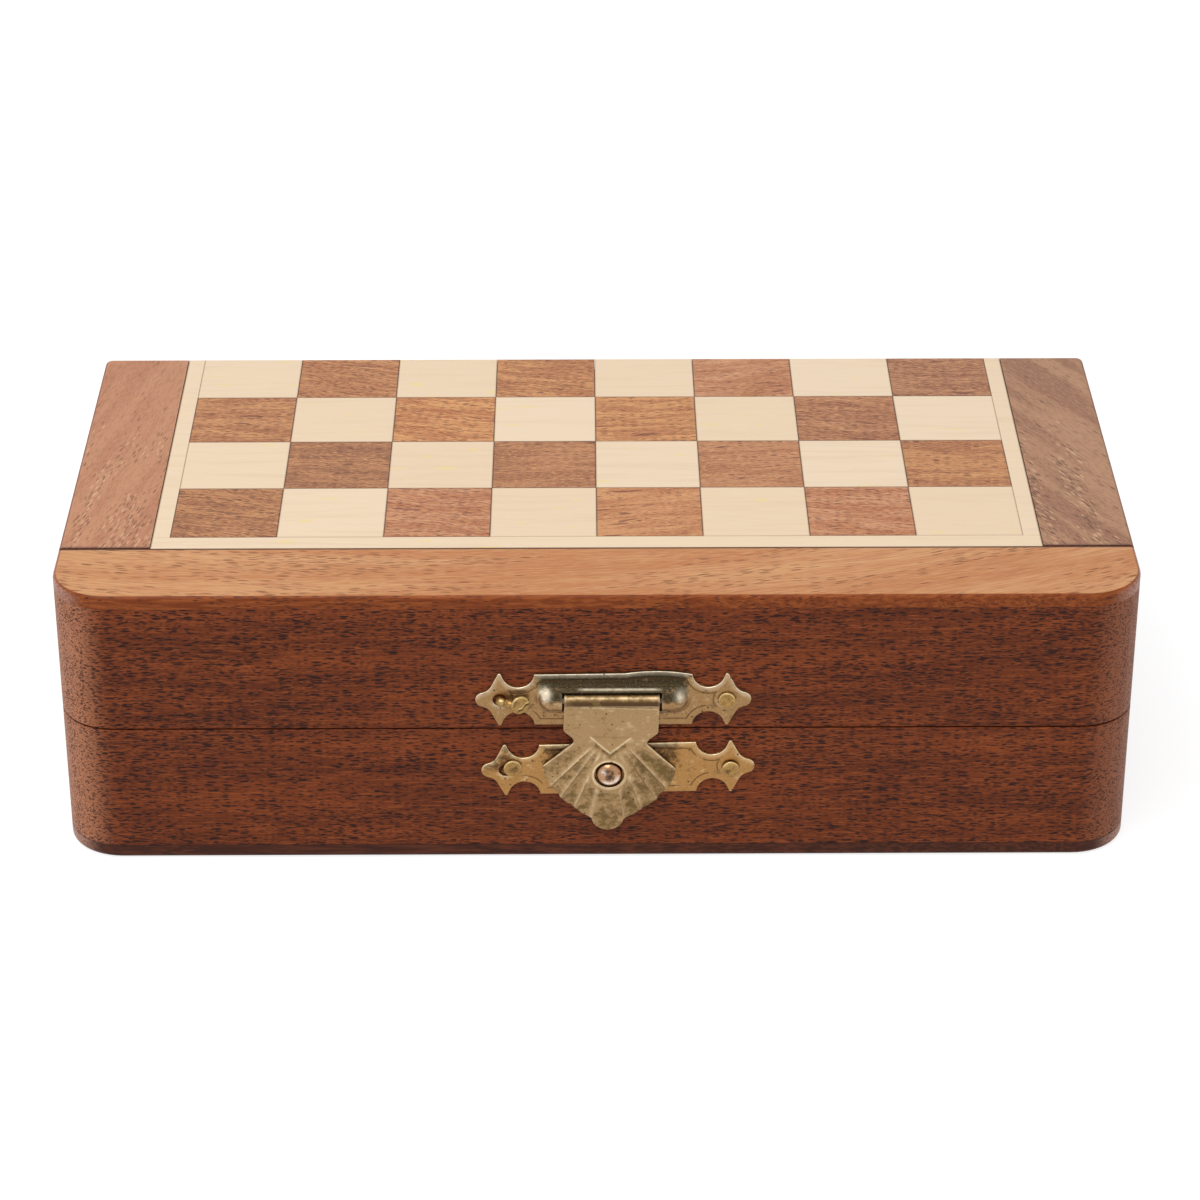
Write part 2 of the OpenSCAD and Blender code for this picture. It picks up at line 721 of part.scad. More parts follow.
// Nail that bent over under the hammer, with its head lying on the plate.
module bent_nail() {
    color(yellow_brass) on_front(upper_plate_x - nail_x, upper_plate_z) {
        nail_shank(0);
        cylinder(r = nail_r, h = bend_out);
        translate([0, 0, bend_out]) {
            sphere(nail_r);
            rotate([0, 0, -bend_slope]) rotate([0, bend_angle, 0]) {
                cylinder(r = nail_r, h = bend_len);
                translate([0, 0, bend_len]) rotate([0, bent_head_tilt - bend_angle, 0])
                    translate([nail_head_r / 2, 0, 0]) cylinder(r = nail_head_r, h = nail_head_t);
            }
        }
    }
}

module upper_fastener_holes() {
    for (side = ends) on_front(upper_plate_x + side * nail_x, upper_plate_z) {
        translate([0, 0, side > 0 ? line_h : 0]) nail_shank(wood_fit);
        translate([0, 0, -line_h]) cylinder(r = nail_r + wood_fit, h = past);
    }
}

module lower_fastener_holes() {
    for (side = ends) on_front(lower_hole(side)[0], lower_hole(side)[1]) {
        translate([0, 0, line_h]) nail_shank(wood_fit);
        translate([0, 0, -line_h]) cylinder(r = nail_r + wood_fit, h = past);
    }
    on_front(stud_x, stud_z) translate([0, 0, -rivet_t - wood_fit])
        cylinder(r = rivet_r + wood_fit, h = rivet_t + past);
}

for (half = halves) {
    front_wall(half);
    back_wall(half);
    side_wall(half, -1);
    side_wall(half, 1);
    backing_board(half);
    felt_lining(half);
    front_border(half);
    side_border(half, -1);
    side_border(half, 1);
    front_strip(half);
    side_strip(half, -1);
    side_strip(half, 1);
    for (row = [1:rows]) for (c = colours)
        squares(half, row, c);
    for (i = [0, 1])
        hinge_leaf(ends[i], half);
    hinge_screws(half);
}
for (i = [0, 1])
    hinge_pin(ends[i]);
upper_latch_plate();
latch_pin();
hasp();
lower_latch_plate();
latch_stud();
bent_nail();
upper_plate_nail();
lower_plate_nails();
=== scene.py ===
"""Finishes, latch metalwork, felt, light and camera of a closed folding chess box.

The wooden pieces, the hinges and the latch pin come from the frame and get procedural finishes. The
plates, hasp, stud and nails of the latch and the felt linings are modelled here, in millimetres,
where the frame has them.
"""

import math

import bpy
import numpy as np
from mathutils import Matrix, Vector, geometry


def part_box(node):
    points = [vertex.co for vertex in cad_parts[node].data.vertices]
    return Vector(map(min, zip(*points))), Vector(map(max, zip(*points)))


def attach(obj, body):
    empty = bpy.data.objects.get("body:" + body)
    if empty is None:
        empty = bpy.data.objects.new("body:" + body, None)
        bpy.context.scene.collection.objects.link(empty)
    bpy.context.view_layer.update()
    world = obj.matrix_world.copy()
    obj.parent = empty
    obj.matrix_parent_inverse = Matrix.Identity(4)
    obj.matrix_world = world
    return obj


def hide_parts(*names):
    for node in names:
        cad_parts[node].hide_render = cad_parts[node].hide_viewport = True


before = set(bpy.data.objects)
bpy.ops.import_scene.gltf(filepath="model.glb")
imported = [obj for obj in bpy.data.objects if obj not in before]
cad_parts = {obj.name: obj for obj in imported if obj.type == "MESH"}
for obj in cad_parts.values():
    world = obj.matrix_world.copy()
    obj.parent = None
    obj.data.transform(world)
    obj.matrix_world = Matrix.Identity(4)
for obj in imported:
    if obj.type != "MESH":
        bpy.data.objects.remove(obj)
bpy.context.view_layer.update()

# The photograph's camera, found from the corners of the box and the rows of squares: its place in
# metres, its turn in degrees, and its lens and sensor in millimetres
CAMERA_PLACE = (-0.00296, -0.5767, 0.3427)
CAMERA_TURN = (61.096, 0, -0.364)
CAMERA_LENS = 112.33
CAMERA_SENSOR = 36

# Light and floor: strengths, shades of grey, and places and sizes in metres
SKY_LEVEL = 0.5
KEY_POWER = 5.0
KEY_PLACE = (-0.25, -0.35, 0.9)
KEY_TARGET = (0, 0, 0.03)
KEY_SIZE = (0.7, 0.5)
FLOOR_GLOW = 0.8
FLOOR_GREY = (0.8, 0.8, 0.8, 1)
FLOOR_SHADE = (0.35, 0.35, 0.35, 1)
FLOOR_REACH = 8.0
FLOOR_DROP = 0.0001

# How glossy the waxed wood is
WOOD_GLOSS = 0.18

# Squares in a row, and points of a felt's surface along x and along y
COLUMNS = 8
FELT_POINTS = (81, 37)

# A millimetre in metres; the sizes below are in millimetres and the turns in degrees
MM = 0.001
SQUARE = 17.8
HINGE_ROW_TRIM = 1.4
PLATE_LENGTH = 45.4
PLATE_HEIGHT = 9.5
PLATE_MIDDLE = 26.0
NAIL_INSET = 4.0
POINT_HEIGHT = 4.9
POINT_WIDTH = 0.4
INNER_HOLLOW = 2.65
INNER_HOLLOW_HEIGHT = 4.95
OUTER_HOLLOW = 2.3
OUTER_HOLLOW_REACH = 3.45
TIP = 1.33
NAIL_X = PLATE_LENGTH / 2 - NAIL_INSET
SHEET = 0.55
PLATE_EDGE = 0.14
PITCH = 0.25
LINE_INSET = 0.95
LINE_WIDTH = 0.4
GROOVE = 0.09
NAIL_HOLE = 1.1
DENT = 0.6
DENT_START = 1.0
UPPER_X = 2.6
UPPER_Z = 5.8
LOWER_X = 3.4
LOWER_Z = -7.4
LOWER_TURN = 1.0
PIVOT_Z = 6.1
PIVOT_OUT = 1.25
BARREL = 2.4
BARREL_WALL = 0.5
BARREL_LENGTH = 25.0
FOOT_HEIGHT = 0.35
FOOT_WIDTH = 0.7
WINDOW_PLAY = 0.35
WINDOW_TOP = 1.6
HASP_X = 2.38
HASP_WIDTH = 15.7
HASP_SHEET = 0.5
HASP_BACK = 0.85
HASP_LEAN = 1.8
HASP_EDGE = 0.13
HASP_PITCH = 0.2
HASP_TOP = -1.35
RIB_HEIGHT = 0.14
SCOOP_DEPTH = 0.44
ROLL = 1.15
ROLL_BORE = 0.6
ROLL_END = -58
ROLL_TAIL = -1.75
SHOULDER_DROP = 6.1
NECK_WIDTH = 12.0
NECK_DROP = 8.2
SHIELD_WIDTH = 22.1
CORNER_DROP = 13.0
HASP_DROP = 25.3
HOLE_DROP = 14.3
HOLE = 2.4
HOLE_RIM = 2.72
HOLE_RIM_WIDTH = 0.42
HOLE_RIM_HEIGHT = 0.2
TRIANGLE_WIDTH = 6.8
TRIANGLE_DROP = 6.9
TRIANGLE_HEIGHT = 3.1
TRIANGLE_DEPTH = 0.16
STUD = 2.2
STUD_SIDE = 0.75
STUD_OUT = 2.25
NAIL_HEAD = 1.5
UPPER_RIGHT_HEAD = 1.42
LOWER_RIGHT_HEAD = 1.45
NAIL_HEAD_THICK = 0.45
NAIL_HEAD_LIFT = 0.12
HEAD_ROUNDING = 0.16
HEAD_CROWN = 0.05
NAIL_SHANK = 0.6
BEND_OUT = 1.15
BEND_LENGTH = 3.1
BEND_ANGLE = 68
BEND_SLOPE = 1
BENT_HEAD_TILT = 22
BENT_HEAD = 1.6

# Places taken from the frame, in millimetres
FRONT_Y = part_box("lid_front_wall")[0].y / MM
BACK_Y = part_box("lid_back_wall")[1].y / MM
BASE_JOINT_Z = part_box("base_front_border")[1].z / MM
SEAM_Z = (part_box("lid_front_wall")[0].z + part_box("base_front_wall")[1].z) / 2 / MM
PLANK_BACK_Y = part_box("lid_front_border")[1].y / MM
FIELD_HALF = -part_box("lid_left_strip")[0].x / MM


def colour(red, green, blue):
    """An input's colour from the values that a screen shows."""
    def linear(value):
        value /= 255
        return value / 12.92 if value <= 0.04045 else ((value + 0.055) / 1.055) ** 2.4
    return (linear(red), linear(green), linear(blue), 1)


def put(tree, socket, value):
    """Feeds an input from another node's output or sets it; three numbers are a screen's colour."""
    if isinstance(value, bpy.types.NodeSocket):
        tree.links.new(value, socket)
    elif socket.type == "RGBA" and len(value) == 3:
        socket.default_value = colour(*value)
    else:
        socket.default_value = value


def add(tree, kind, inputs=None, **settings):
    """A new node of a tree, with its settings and inputs."""
    node = tree.nodes.new(kind)
    for key, value in settings.items():
        setattr(node, key, value)
    for key, value in (inputs or {}).items():
        put(tree, node.inputs[key], value)
    return node


class Shader:
    """A node material, with one short call for each kind of node that the finishes use."""

    def __init__(self, name):
        self.material = bpy.data.materials.new(name)
        self.material.use_nodes = True
        self.tree = self.material.node_tree
        metres = self.add("ShaderNodeTexCoord").outputs["Object"]
        self.place = self.vector("MULTIPLY", metres, (1 / MM, 1 / MM, 1 / MM))
        self.normal = self.add("ShaderNodeNewGeometry").outputs["Normal"]

    def add(self, kind, inputs=None, **settings):
        return add(self.tree, kind, inputs, **settings)

    def math(self, operation, *values):
        return self.add("ShaderNodeMath", dict(enumerate(values)), operation=operation).outputs[0]

    def times(self, first, second):
        return self.math("MULTIPLY", first, second)

    def plus(self, first, second):
        return self.math("ADD", first, second)

    def minus(self, first, second):
        return self.math("SUBTRACT", first, second)

    def size(self, value):
        return self.math("ABSOLUTE", value)

    def vector(self, operation, *values):
        node = self.add("ShaderNodeVectorMath", dict(enumerate(values)), operation=operation)
        return node.outputs["Value" if operation in ("LENGTH", "DOT_PRODUCT", "DISTANCE") else "Vector"]

    def split(self, vector):
        return self.add("ShaderNodeSeparateXYZ", {0: vector}).outputs

    def join(self, x, y, z):
        return self.add("ShaderNodeCombineXYZ", {0: x, 1: y, 2: z}).outputs[0]

    def step(self, value, low, high):
        """0 below low and 1 above high, or the other way round where low is the larger."""
        inputs = {"Value": value, "From Min": low, "From Max": high}
        return self.add("ShaderNodeMapRange", inputs, interpolation_type="SMOOTHSTEP").outputs[0]

    def mix(self, share, first, second):
        inputs = {0: share, 6: first, 7: second}
        return self.add("ShaderNodeMix", inputs, data_type="RGBA").outputs[2]

    def layer(self, base, mask, share, tint):
        """Base with the share of tint over it where the mask is 1, and less where it is less."""
        return self.mix(self.times(mask, share), base, tint)

    def along(self, place, size, turn=0.0, shift=(0, 0, 0)):
        """Place in units of a streak's size, with the streaks turned about Z by turn degrees."""
        inputs = {"Vector": place, "Location": shift, "Scale": size}
        inputs["Rotation"] = (0, 0, math.radians(turn))
        return self.add("ShaderNodeMapping", inputs, vector_type="TEXTURE").outputs[0]

    def noise(self, place, size, detail=2.0, roughness=0.5, distortion=0.0, **placing):
        """Noise in streaks of about size, with the turn and shift of along."""
        inputs = {"Vector": self.along(place, size, **placing), "Scale": 1.0, "Detail": detail}
        inputs.update({"Roughness": roughness, "Distortion": distortion})
        return self.add("ShaderNodeTexNoise", inputs).outputs[0]

    def warp(self, place, size, amount):
        """Place pushed about by amount millimetres, in waves of about size."""
        inputs = {"Vector": self.along(place, size), "Scale": 1.0, "Detail": 1.0}
        waves = self.add("ShaderNodeTexNoise", inputs).outputs["Color"]
        centred = self.vector("SUBTRACT", waves, (0.5, 0.5, 0.5))
        return self.vector("ADD", place, self.vector("MULTIPLY", centred, amount))

    def cells(self, place):
        """Distance to the nearest of scattered centres, and a random value for each of them."""
        node = self.add("ShaderNodeTexVoronoi", {"Vector": place, "Scale": 1.0})
        return node.outputs["Distance"], self.split(node.outputs["Color"])[0]

    def arches(self, place, middle, stretch, spacing, wobble):
        """Nested arches of grain round a middle, from 0 to 1 and back across every spacing."""
        around = self.vector("DIVIDE", self.vector("SUBTRACT", place, middle), stretch)
        ripple = self.times(self.noise(place, (9, 9, 9), 2), wobble)
        reach = self.plus(self.vector("LENGTH", around), ripple)
        return self.step(self.math("SINE", self.times(reach, 2 * math.pi / spacing)), -0.6, 1.0)

    def slanted(self, place, angle):
        """Place turned about Z by an angle in radians, which may be a socket."""
        inputs = {"Vector": place, "Angle": angle}
        return self.add("ShaderNodeVectorRotate", inputs, rotation_type="Z_AXIS").outputs[0]

    def random(self, vector):
        return self.add("ShaderNodeTexWhiteNoise", {"Vector": vector}, noise_dimensions="3D").outputs["Value"]

    def attribute(self, name):
        return self.add("ShaderNodeAttribute", attribute_name=name).outputs["Fac"]

    def bump(self, height, distance, strength):
        inputs = {"Height": height, "Distance": distance, "Strength": strength}
        return self.add("ShaderNodeBump", inputs).outputs[0]

    def finish(self, base, roughness, bump, **constants):
        surface = self.tree.nodes["Principled BSDF"]
        inputs = {"Base Color": base, "Roughness": roughness, "Normal": bump, **constants}
        for key, value in inputs.items():
            put(self.tree, surface.inputs[key.replace("_", " ")], value)
        return self.material

    def waxed(self, base, roughness, fibre, dark, depth, strength):
        """Waxed wood whose fibres stand up a little and whose dark pores are sunk."""
        bump = self.bump(self.minus(self.times(fibre, 0.3), dark), depth, strength)
        return self.finish(base, roughness, bump, Specular_IOR_Level=WOOD_GLOSS)


def pores(shader, place, size, radius, turn, shift, presence, density=None):
    """Dark dashes along the grain, 1 inside a pore; presence is the share of cells that have one."""
    distance, chance = shader.cells(shader.along(place, size, turn, shift))
    inside = shader.step(distance, radius, radius * 0.6)
    wanted = shader.minus(presence, chance)
    if density is not None:
        wanted = shader.plus(wanted, density)
    return shader.times(inside, shader.step(wanted, 0.0, 0.12))


def wall_wood(name, side_wall):
    """Walls: reddish brown with dense dark pores along the length, stippled where a corner cuts them.

    The corners and the side walls are painted lighter, partly for end grain and partly as painted light
    from the left.
    """
    s = Shader(name)

    def grain(length, width, height):
        return (width, length, height) if side_wall else (length, width, height)

    place = s.warp(s.place, grain(26, 20, 7), (0, 0, 1.6))
    broad = s.noise(place, grain(40, 9, 4), 2)
    fibre = s.noise(place, grain(4, 0.22, 0.2), 3, 0.7)
    crowd = s.times(s.minus(s.noise(place, grain(16, 6, 2.6), 2), 0.5), 1.2)
    near_end = s.step(s.size(s.split(s.place)[0]), 66, 80)
    crowd = s.plus(crowd, s.times(near_end, 0.15))
    tiny = pores(s, place, grain(1.0, 0.24, 0.22), 0.42, 0, (6, 2, 9), 0.7, crowd)
    fine = pores(s, place, grain(1.6, 0.34, 0.31), 0.42, 0, (3, 1, 2), 0.8, crowd)
    bold = pores(s, place, grain(2.6, 0.50, 0.46), 0.42, 0, (8, 5, 7), 0.5, crowd)
    dark = s.math("MAXIMUM", s.math("MAXIMUM", fine, bold), s.times(tiny, 0.75))
    base = s.mix(s.step(broad, 0.3, 0.72), (102, 44, 16), (132, 62, 26))
    base = s.layer(base, s.step(fibre, 0.48, 0.66), 0.6, (168, 88, 44))
    base = s.layer(base, s.step(fibre, 0.46, 0.34), 0.4, (84, 36, 16))
    # Painted light: faces turned to the left take the lighter tone, as if lit from the left; on the rounded
    # corners the lightening and the paler pores also stand for end grain
    x = s.split(s.normal)[0]
    end_grain = 0.3 if side_wall else s.step(s.size(x), 0.03, 0.7)
    lighter = s.mix(s.step(x, 0.1, -0.1), (162, 98, 66), (198, 132, 96))
    end_grain_and_light_share = 0.4 if side_wall else s.times(end_grain, 0.85)
    base = s.mix(end_grain_and_light_share, base, lighter)
    pore_colour = s.mix(end_grain, (36, 17, 17), (88, 50, 38))
    base = s.layer(base, dark, 0.92, pore_colour)
    joint = s.step(s.size(s.minus(s.split(s.place)[2], BASE_JOINT_Z)), 0.28, 0.1)
    base = s.layer(base, joint, 0.8, (38, 18, 14))
    rough = s.plus(s.times(dark, 0.2), 0.45)
    return s.waxed(base, rough, fibre, dark, 0.00006, 0.7)


def plank_wood(name, edge_dark, edge_light):
    """Front plank: golden tan with thin dark streaks on top, deeper brown on its edge."""
    s = Shader(name)
    from_bend = s.plus(s.split(s.place)[0], 34)
    rise = s.times(s.times(from_bend, from_bend), 0.0016)
    place = s.warp(s.vector("SUBTRACT", s.place, s.join(0, rise, 0)), (24, 9, 9), (0, 2.8, 0))
    broad = s.noise(place, (50, 4, 4), 2)
    streak = s.noise(place, (12, 0.5, 0.5), 3, 0.6, 0.3, turn=2.5)
    fibre = s.noise(place, (3, 0.18, 0.18), 3, 0.65)
    crowd = s.times(s.minus(s.noise(place, (22, 4, 4), 1), 0.5), 3.2)
    dark = pores(s, place, (3.0, 0.3, 0.3), 0.42, 0, (2, 6, 1), 0.4, crowd)
    figure = s.arches(place, (52, PLANK_BACK_Y - 1, 0), (26, 1.3, 26), 0.62, 1.1)
    top = s.mix(s.step(broad, 0.32, 0.68), (200, 132, 82), (218, 160, 110))
    top = s.layer(top, s.step(figure, 0.2, 0.9), 0.22, (184, 114, 70))
    top = s.layer(top, s.step(streak, 0.48, 0.68), 0.55, (176, 106, 68))
    top = s.layer(top, s.step(fibre, 0.48, 0.66), 0.45, (228, 178, 130))
    top = s.layer(top, s.step(fibre, 0.46, 0.34), 0.35, (164, 98, 60))
    normal = s.split(s.normal)
    down = s.step(s.size(normal[2]), 0.985, 0.85)
    edge = s.mix(s.step(streak, 0.4, 0.65), edge_dark, edge_light)
    edge = s.layer(edge, s.step(fibre, 0.5, 0.75), 0.35, edge_light)
    short = pores(s, place, (1.8, 0.3, 0.3), 0.42, 0, (5, 3, 8), 0.6, crowd)
    edge = s.layer(edge, short, 0.75, (60, 28, 20))
    corner = s.step(s.size(normal[0]), 0.35, 0.85)
    worn = s.step(s.noise(s.place, (0.5, 0.5, 0.35), 3, 0.6), 0.3, 0.65)
    end_grain = s.mix(worn, (160, 102, 82), (206, 158, 138))
    edge = s.layer(edge, corner, 0.8, end_grain)
    base = s.layer(top, dark, 0.75, (104, 58, 36))
    # Dark line along the back edge, where the plank meets the strip: partly glue, partly painted shade of the
    # gap between them
    glue_and_gap_shade = s.step(s.split(s.place)[1], PLANK_BACK_Y - 0.45, PLANK_BACK_Y - 0.2)
    base = s.layer(base, glue_and_gap_shade, 0.9, (44, 27, 18))
    base = s.mix(down, base, edge)
    rough = s.plus(s.times(dark, 0.2), 0.42)
    return s.waxed(base, rough, fibre, dark, 0.00005, 0.6)


def side_plank_wood(name, light, mid, pore_colour, turn, bands, arch):
    """A plank beside the squares: short pores, crowded along arches, and a stain at the front plank.

    bands is the contrast of the wide slanting streaks, and arch the middle and stretch of the arches."""
    s = Shader(name)
    place = s.warp(s.place, (10, 26, 10), (2.0, 0, 0))
    broad = s.noise(place, (3.4, 40, 3.4), 2, turn=turn, shift=(4, 2, 1))
    streak = s.noise(place, (0.5, 5, 0.5), 3, 0.6, 0.3, turn=turn, shift=(4, 2, 1))
    fibre = s.noise(place, (0.24, 1.6, 0.24), 3, 0.7, turn=turn, shift=(4, 2, 1))
    near_front = s.step(s.split(s.place)[1], BACK_Y - 18, PLANK_BACK_Y + 22)
    lines = s.times(s.arches(place, *arch, 0.7, 0.35), near_front)
    base = s.layer(mid, s.step(broad, 0.38, 0.62), bands, light)
    base = s.layer(base, s.step(streak, 0.52, 0.64), 0.25, pore_colour)
    base = s.layer(base, s.step(fibre, 0.5, 0.64), 0.45, light)
    base = s.layer(base, s.step(fibre, 0.46, 0.36), 0.4, pore_colour)
    wanted = s.minus(s.times(lines, 0.9), 0.15)
    dark = pores(s, place, (0.5, 2.4, 0.5), 0.42, turn, (4, 2, 1), 0.3, wanted)
    pale = pores(s, place, (0.5, 2.4, 0.5), 0.42, turn, (8, 3, 1), 0.15, wanted)
    base = s.layer(base, pale, 0.6, (226, 184, 146))
    base = s.layer(base, dark, 0.7, pore_colour)
    stain = s.step(s.split(s.place)[1], PLANK_BACK_Y + 1.2, PLANK_BACK_Y + 0.5)
    base = s.layer(base, stain, 0.75, (88, 66, 62))
    down = s.step(s.size(s.split(s.normal)[2]), 0.96, 0.75)
    short = pores(s, place, (0.34, 2.0, 0.34), 0.4, 0, (5, 3, 8), 0.5)
    edge = s.mix(s.step(streak, 0.4, 0.65), (124, 66, 40), (156, 90, 58))
    edge = s.layer(edge, short, 0.7, (60, 30, 22))
    base = s.mix(down, base, edge)
    return s.waxed(base, 0.45, fibre, dark, 0.00006, 0.5)


def cell_of(s):
    """Number of the square that a point lies in, and the point's distance to that square's edge."""
    x, y, z = s.split(s.place)[:3]
    across = s.math("DIVIDE", s.plus(x, COLUMNS * SQUARE / 2), SQUARE)
    down = s.math("DIVIDE", s.minus(BACK_Y + HINGE_ROW_TRIM, y), SQUARE)
    half = s.math("GREATER_THAN", z, SEAM_Z)
    cell = s.join(s.math("FLOOR", across), s.math("FLOOR", down), s.plus(half, 3.0))
    gaps = [s.size(s.minus(s.math("FRACT", way), 0.5)) for way in (across, down)]
    return cell, s.times(s.minus(0.5, s.math("MAXIMUM", *gaps)), SQUARE)


def dark_square_wood():
    """Dark squares: each cut from another spot of the plank, so its tone and streaks differ."""
    s = Shader("dark_square_wood")
    cell, gap = cell_of(s)
    tone = s.random(cell)
    kind = s.random(s.vector("ADD", cell, (11, 5, 2)))
    jump = s.vector("MULTIPLY", s.join(tone, kind, tone), (300, 170, 90))
    slant = s.times(s.minus(kind, 0.5), 0.5)
    place = s.warp(s.vector("ADD", s.slanted(s.place, slant), jump), (12, 5, 5), (0, 2.6, 0))
    broad = s.noise(place, (16, 2.2, 2.2), 2)
    streak = s.noise(place, (9, 0.42, 0.42), 3, 0.65, 0.5)
    fibre = s.noise(place, (1.1, 0.16, 0.16), 3, 0.7)
    hue = s.random(s.vector("ADD", cell, (3, 17, 8)))
    golden = s.mix(tone, (186, 128, 86), (228, 164, 106))
    reddish = s.mix(tone, (176, 122, 96), (212, 152, 118))
    base = s.mix(hue, golden, reddish)
    darker = s.mix(tone, (136, 84, 62), (180, 106, 66))
    base = s.layer(base, s.step(broad, 0.44, 0.6), 0.6, darker)
    share = s.plus(0.35, s.times(kind, 0.6))
    base = s.layer(base, s.step(streak, 0.5, 0.6), share, darker)
    base = s.layer(base, s.step(fibre, 0.51, 0.62), 0.6, (234, 178, 122))
    base = s.layer(base, s.step(fibre, 0.46, 0.37), 0.65, (128, 78, 54))
    presence = s.plus(0.15, s.times(kind, 0.5))
    dark = pores(s, place, (1.7, 0.27, 0.27), 0.43, 0, (0, 0, 0), presence)
    base = s.layer(base, dark, 0.75, (92, 54, 40))
    flame = s.noise(place, (7, 1.0, 1.0), 1, shift=(31, 7, 2))
    base = s.layer(base, s.step(flame, 0.68, 0.74), 0.7, (110, 60, 50))
    base = s.layer(base, s.step(gap, 0.24, 0.06), 0.7, (74, 48, 34))
    return s.waxed(base, 0.45, fibre, dark, 0.00004, 0.5)


def light_wood(name, strip):
    """Light squares or the strips round them: pale wood with faint grain and a few yellow patches."""
    s = Shader(name)
    cell, gap = cell_of(s)
    if strip:
        x, y = s.split(s.place)[:2]
        to_side = s.minus(FIELD_HALF, s.size(x))
        gap = s.math("MINIMUM", to_side, s.minus(y, PLANK_BACK_Y))
    tone = 0.4 if strip else s.random(cell)
    jump = s.vector("MULTIPLY", s.join(tone, tone, tone), (200, 130, 60))
    place = s.warp(s.vector("ADD", s.place, jump), (24, 9, 9), (0, 2.4, 0))
    grain = s.noise(place, (24, 1.6, 1.6), 3, 0.55, 0.4)
    fibre = s.noise(place, (5, 0.22, 0.22), 3, 0.6)
    base = s.mix(tone, (243, 216, 184), (247, 223, 193))
    base = s.layer(base, s.step(grain, 0.48, 0.7), 0.35, (231, 203, 170))
    base = s.layer(base, s.step(fibre, 0.5, 0.75), 0.35, (252, 235, 212))
    spot = s.noise(s.place, (6.5, 2.4, 2.4), 1, shift=(17, 9, 4))
    base = s.layer(base, s.step(spot, 0.66, 0.76), 0.55, (247, 221, 150))
    # Dark lines at the joints between the squares, and along a strip's sides and front; at its front the line
    # is partly painted shade of the gap at the front plank
    base = s.layer(base, s.step(gap, 0.24, 0.08), 0.7 if strip else 0.4, (128, 92, 64))
    bump = s.bump(fibre, 0.00002, 0.4)
    return s.finish(base, 0.45, bump, Specular_IOR_Level=WOOD_GLOSS)


def plywood():
    """Backing boards: pale core plies on the edges, warm open grain on the faces."""
    s = Shader("plywood")
    place = s.warp(s.place, (30, 12, 12), (0, 3, 0))
    grain = s.noise(place, (25, 1.2, 1.2), 3, 0.6, 0.4)
    base = s.mix(s.step(grain, 0.35, 0.7), (196, 160, 116), (221, 190, 148))
    layers = s.math("SINE", s.times(s.split(s.place)[2], 2 * math.pi))
    side = s.step(s.size(s.split(s.normal)[2]), 0.9, 0.5)
    base = s.layer(base, s.times(side, s.step(layers, -0.2, 0.2)), 0.5, (150, 108, 70))
    return s.finish(base, 0.6, s.bump(grain, 0.00005, 0.5))


def brass(name, base_colour, dark_colour, bright_colour, shift, metallic=0.75, rough=0.36, coarse=1.0):
    """Stamped brass: patina in the hollows, with painted shade; bright metal on upper edges and ridges that
    is partly worn and partly painted highlight; pits and specks.

    The mesh says where: one value for patina, painted shade and painted dark reflections, rim for worn metal
    and painted highlights, and line for the dark pressed line, the dark line at the barrel's foot and painted
    shade."""
    s = Shader(name)
    hollow = s.attribute("hollow")
    rim = s.attribute("rim")
    line = s.attribute("line")
    cloud = s.noise(s.place, (2.4, 2.4, 1.8), 4, 0.65, shift=shift)
    speck = s.noise(s.place, (0.9, 0.9, 0.7), 3, 0.6, 0.4, shift=shift)
    # Darker where the mesh asks for patina or painted shade, and at random in clouds and specks
    tarnish_and_shade_mask = s.plus(s.times(hollow, 0.8), s.times(s.minus(cloud, 0.5), 1.6))
    tarnish_and_shade_mask = s.plus(tarnish_and_shade_mask, s.times(s.minus(speck, 0.5), 1.5))
    base = s.mix(s.step(tarnish_and_shade_mask, 0.05, 0.85), base_colour, dark_colour)
    grit = s.noise(s.place, (0.2, 0.2, 0.16), 3, 0.7, shift=shift)
    base = s.layer(base, s.step(grit, 0.53, 0.66), 0.35 * coarse, dark_colour)
    base = s.layer(base, s.step(grit, 0.45, 0.33), 0.15 * coarse, bright_colour)
    green = s.times(s.step(speck, 0.56, 0.7), s.step(hollow, 0.3, 0.9))
    base = s.layer(base, green, 0.3, (88, 82, 46))
    smear = s.times(s.step(cloud, 0.42, 0.3), s.step(hollow, 0.9, 0.3))
    base = s.layer(base, smear, 0.25 * coarse, bright_colour)
    # Painted highlights and worn metal: the rim value brightens upward-facing edges, ridges and round tops
    worn = s.times(rim, s.plus(0.7, s.times(s.step(speck, 0.62, 0.42), 0.3)))
    base = s.layer(base, worn, 0.95, bright_colour)
    kept = s.step(s.noise(s.place, (2.2, 2.2, 2.2), 1, shift=(4, 4, 9)), 0.36, 0.5)
    base = s.layer(base, s.times(line, kept), 0.85, (74, 46, 26))
    distance, chance = s.cells(s.along(s.place, (0.9, 0.9, 0.9), 0, shift))
    pit = s.times(s.step(distance, 0.26, 0.14), s.step(chance, 0.78, 0.82))
    base = s.layer(base, pit, 0.75, (64, 46, 28))
    roughness = s.plus(rough, s.times(s.step(tarnish_and_shade_mask, 0.0, 0.9), 0.2))
    height = s.minus(s.times(speck, 0.5), pit)
    return s.finish(base, roughness, s.bump(height, 0.00005, 0.6), Metallic=metallic)


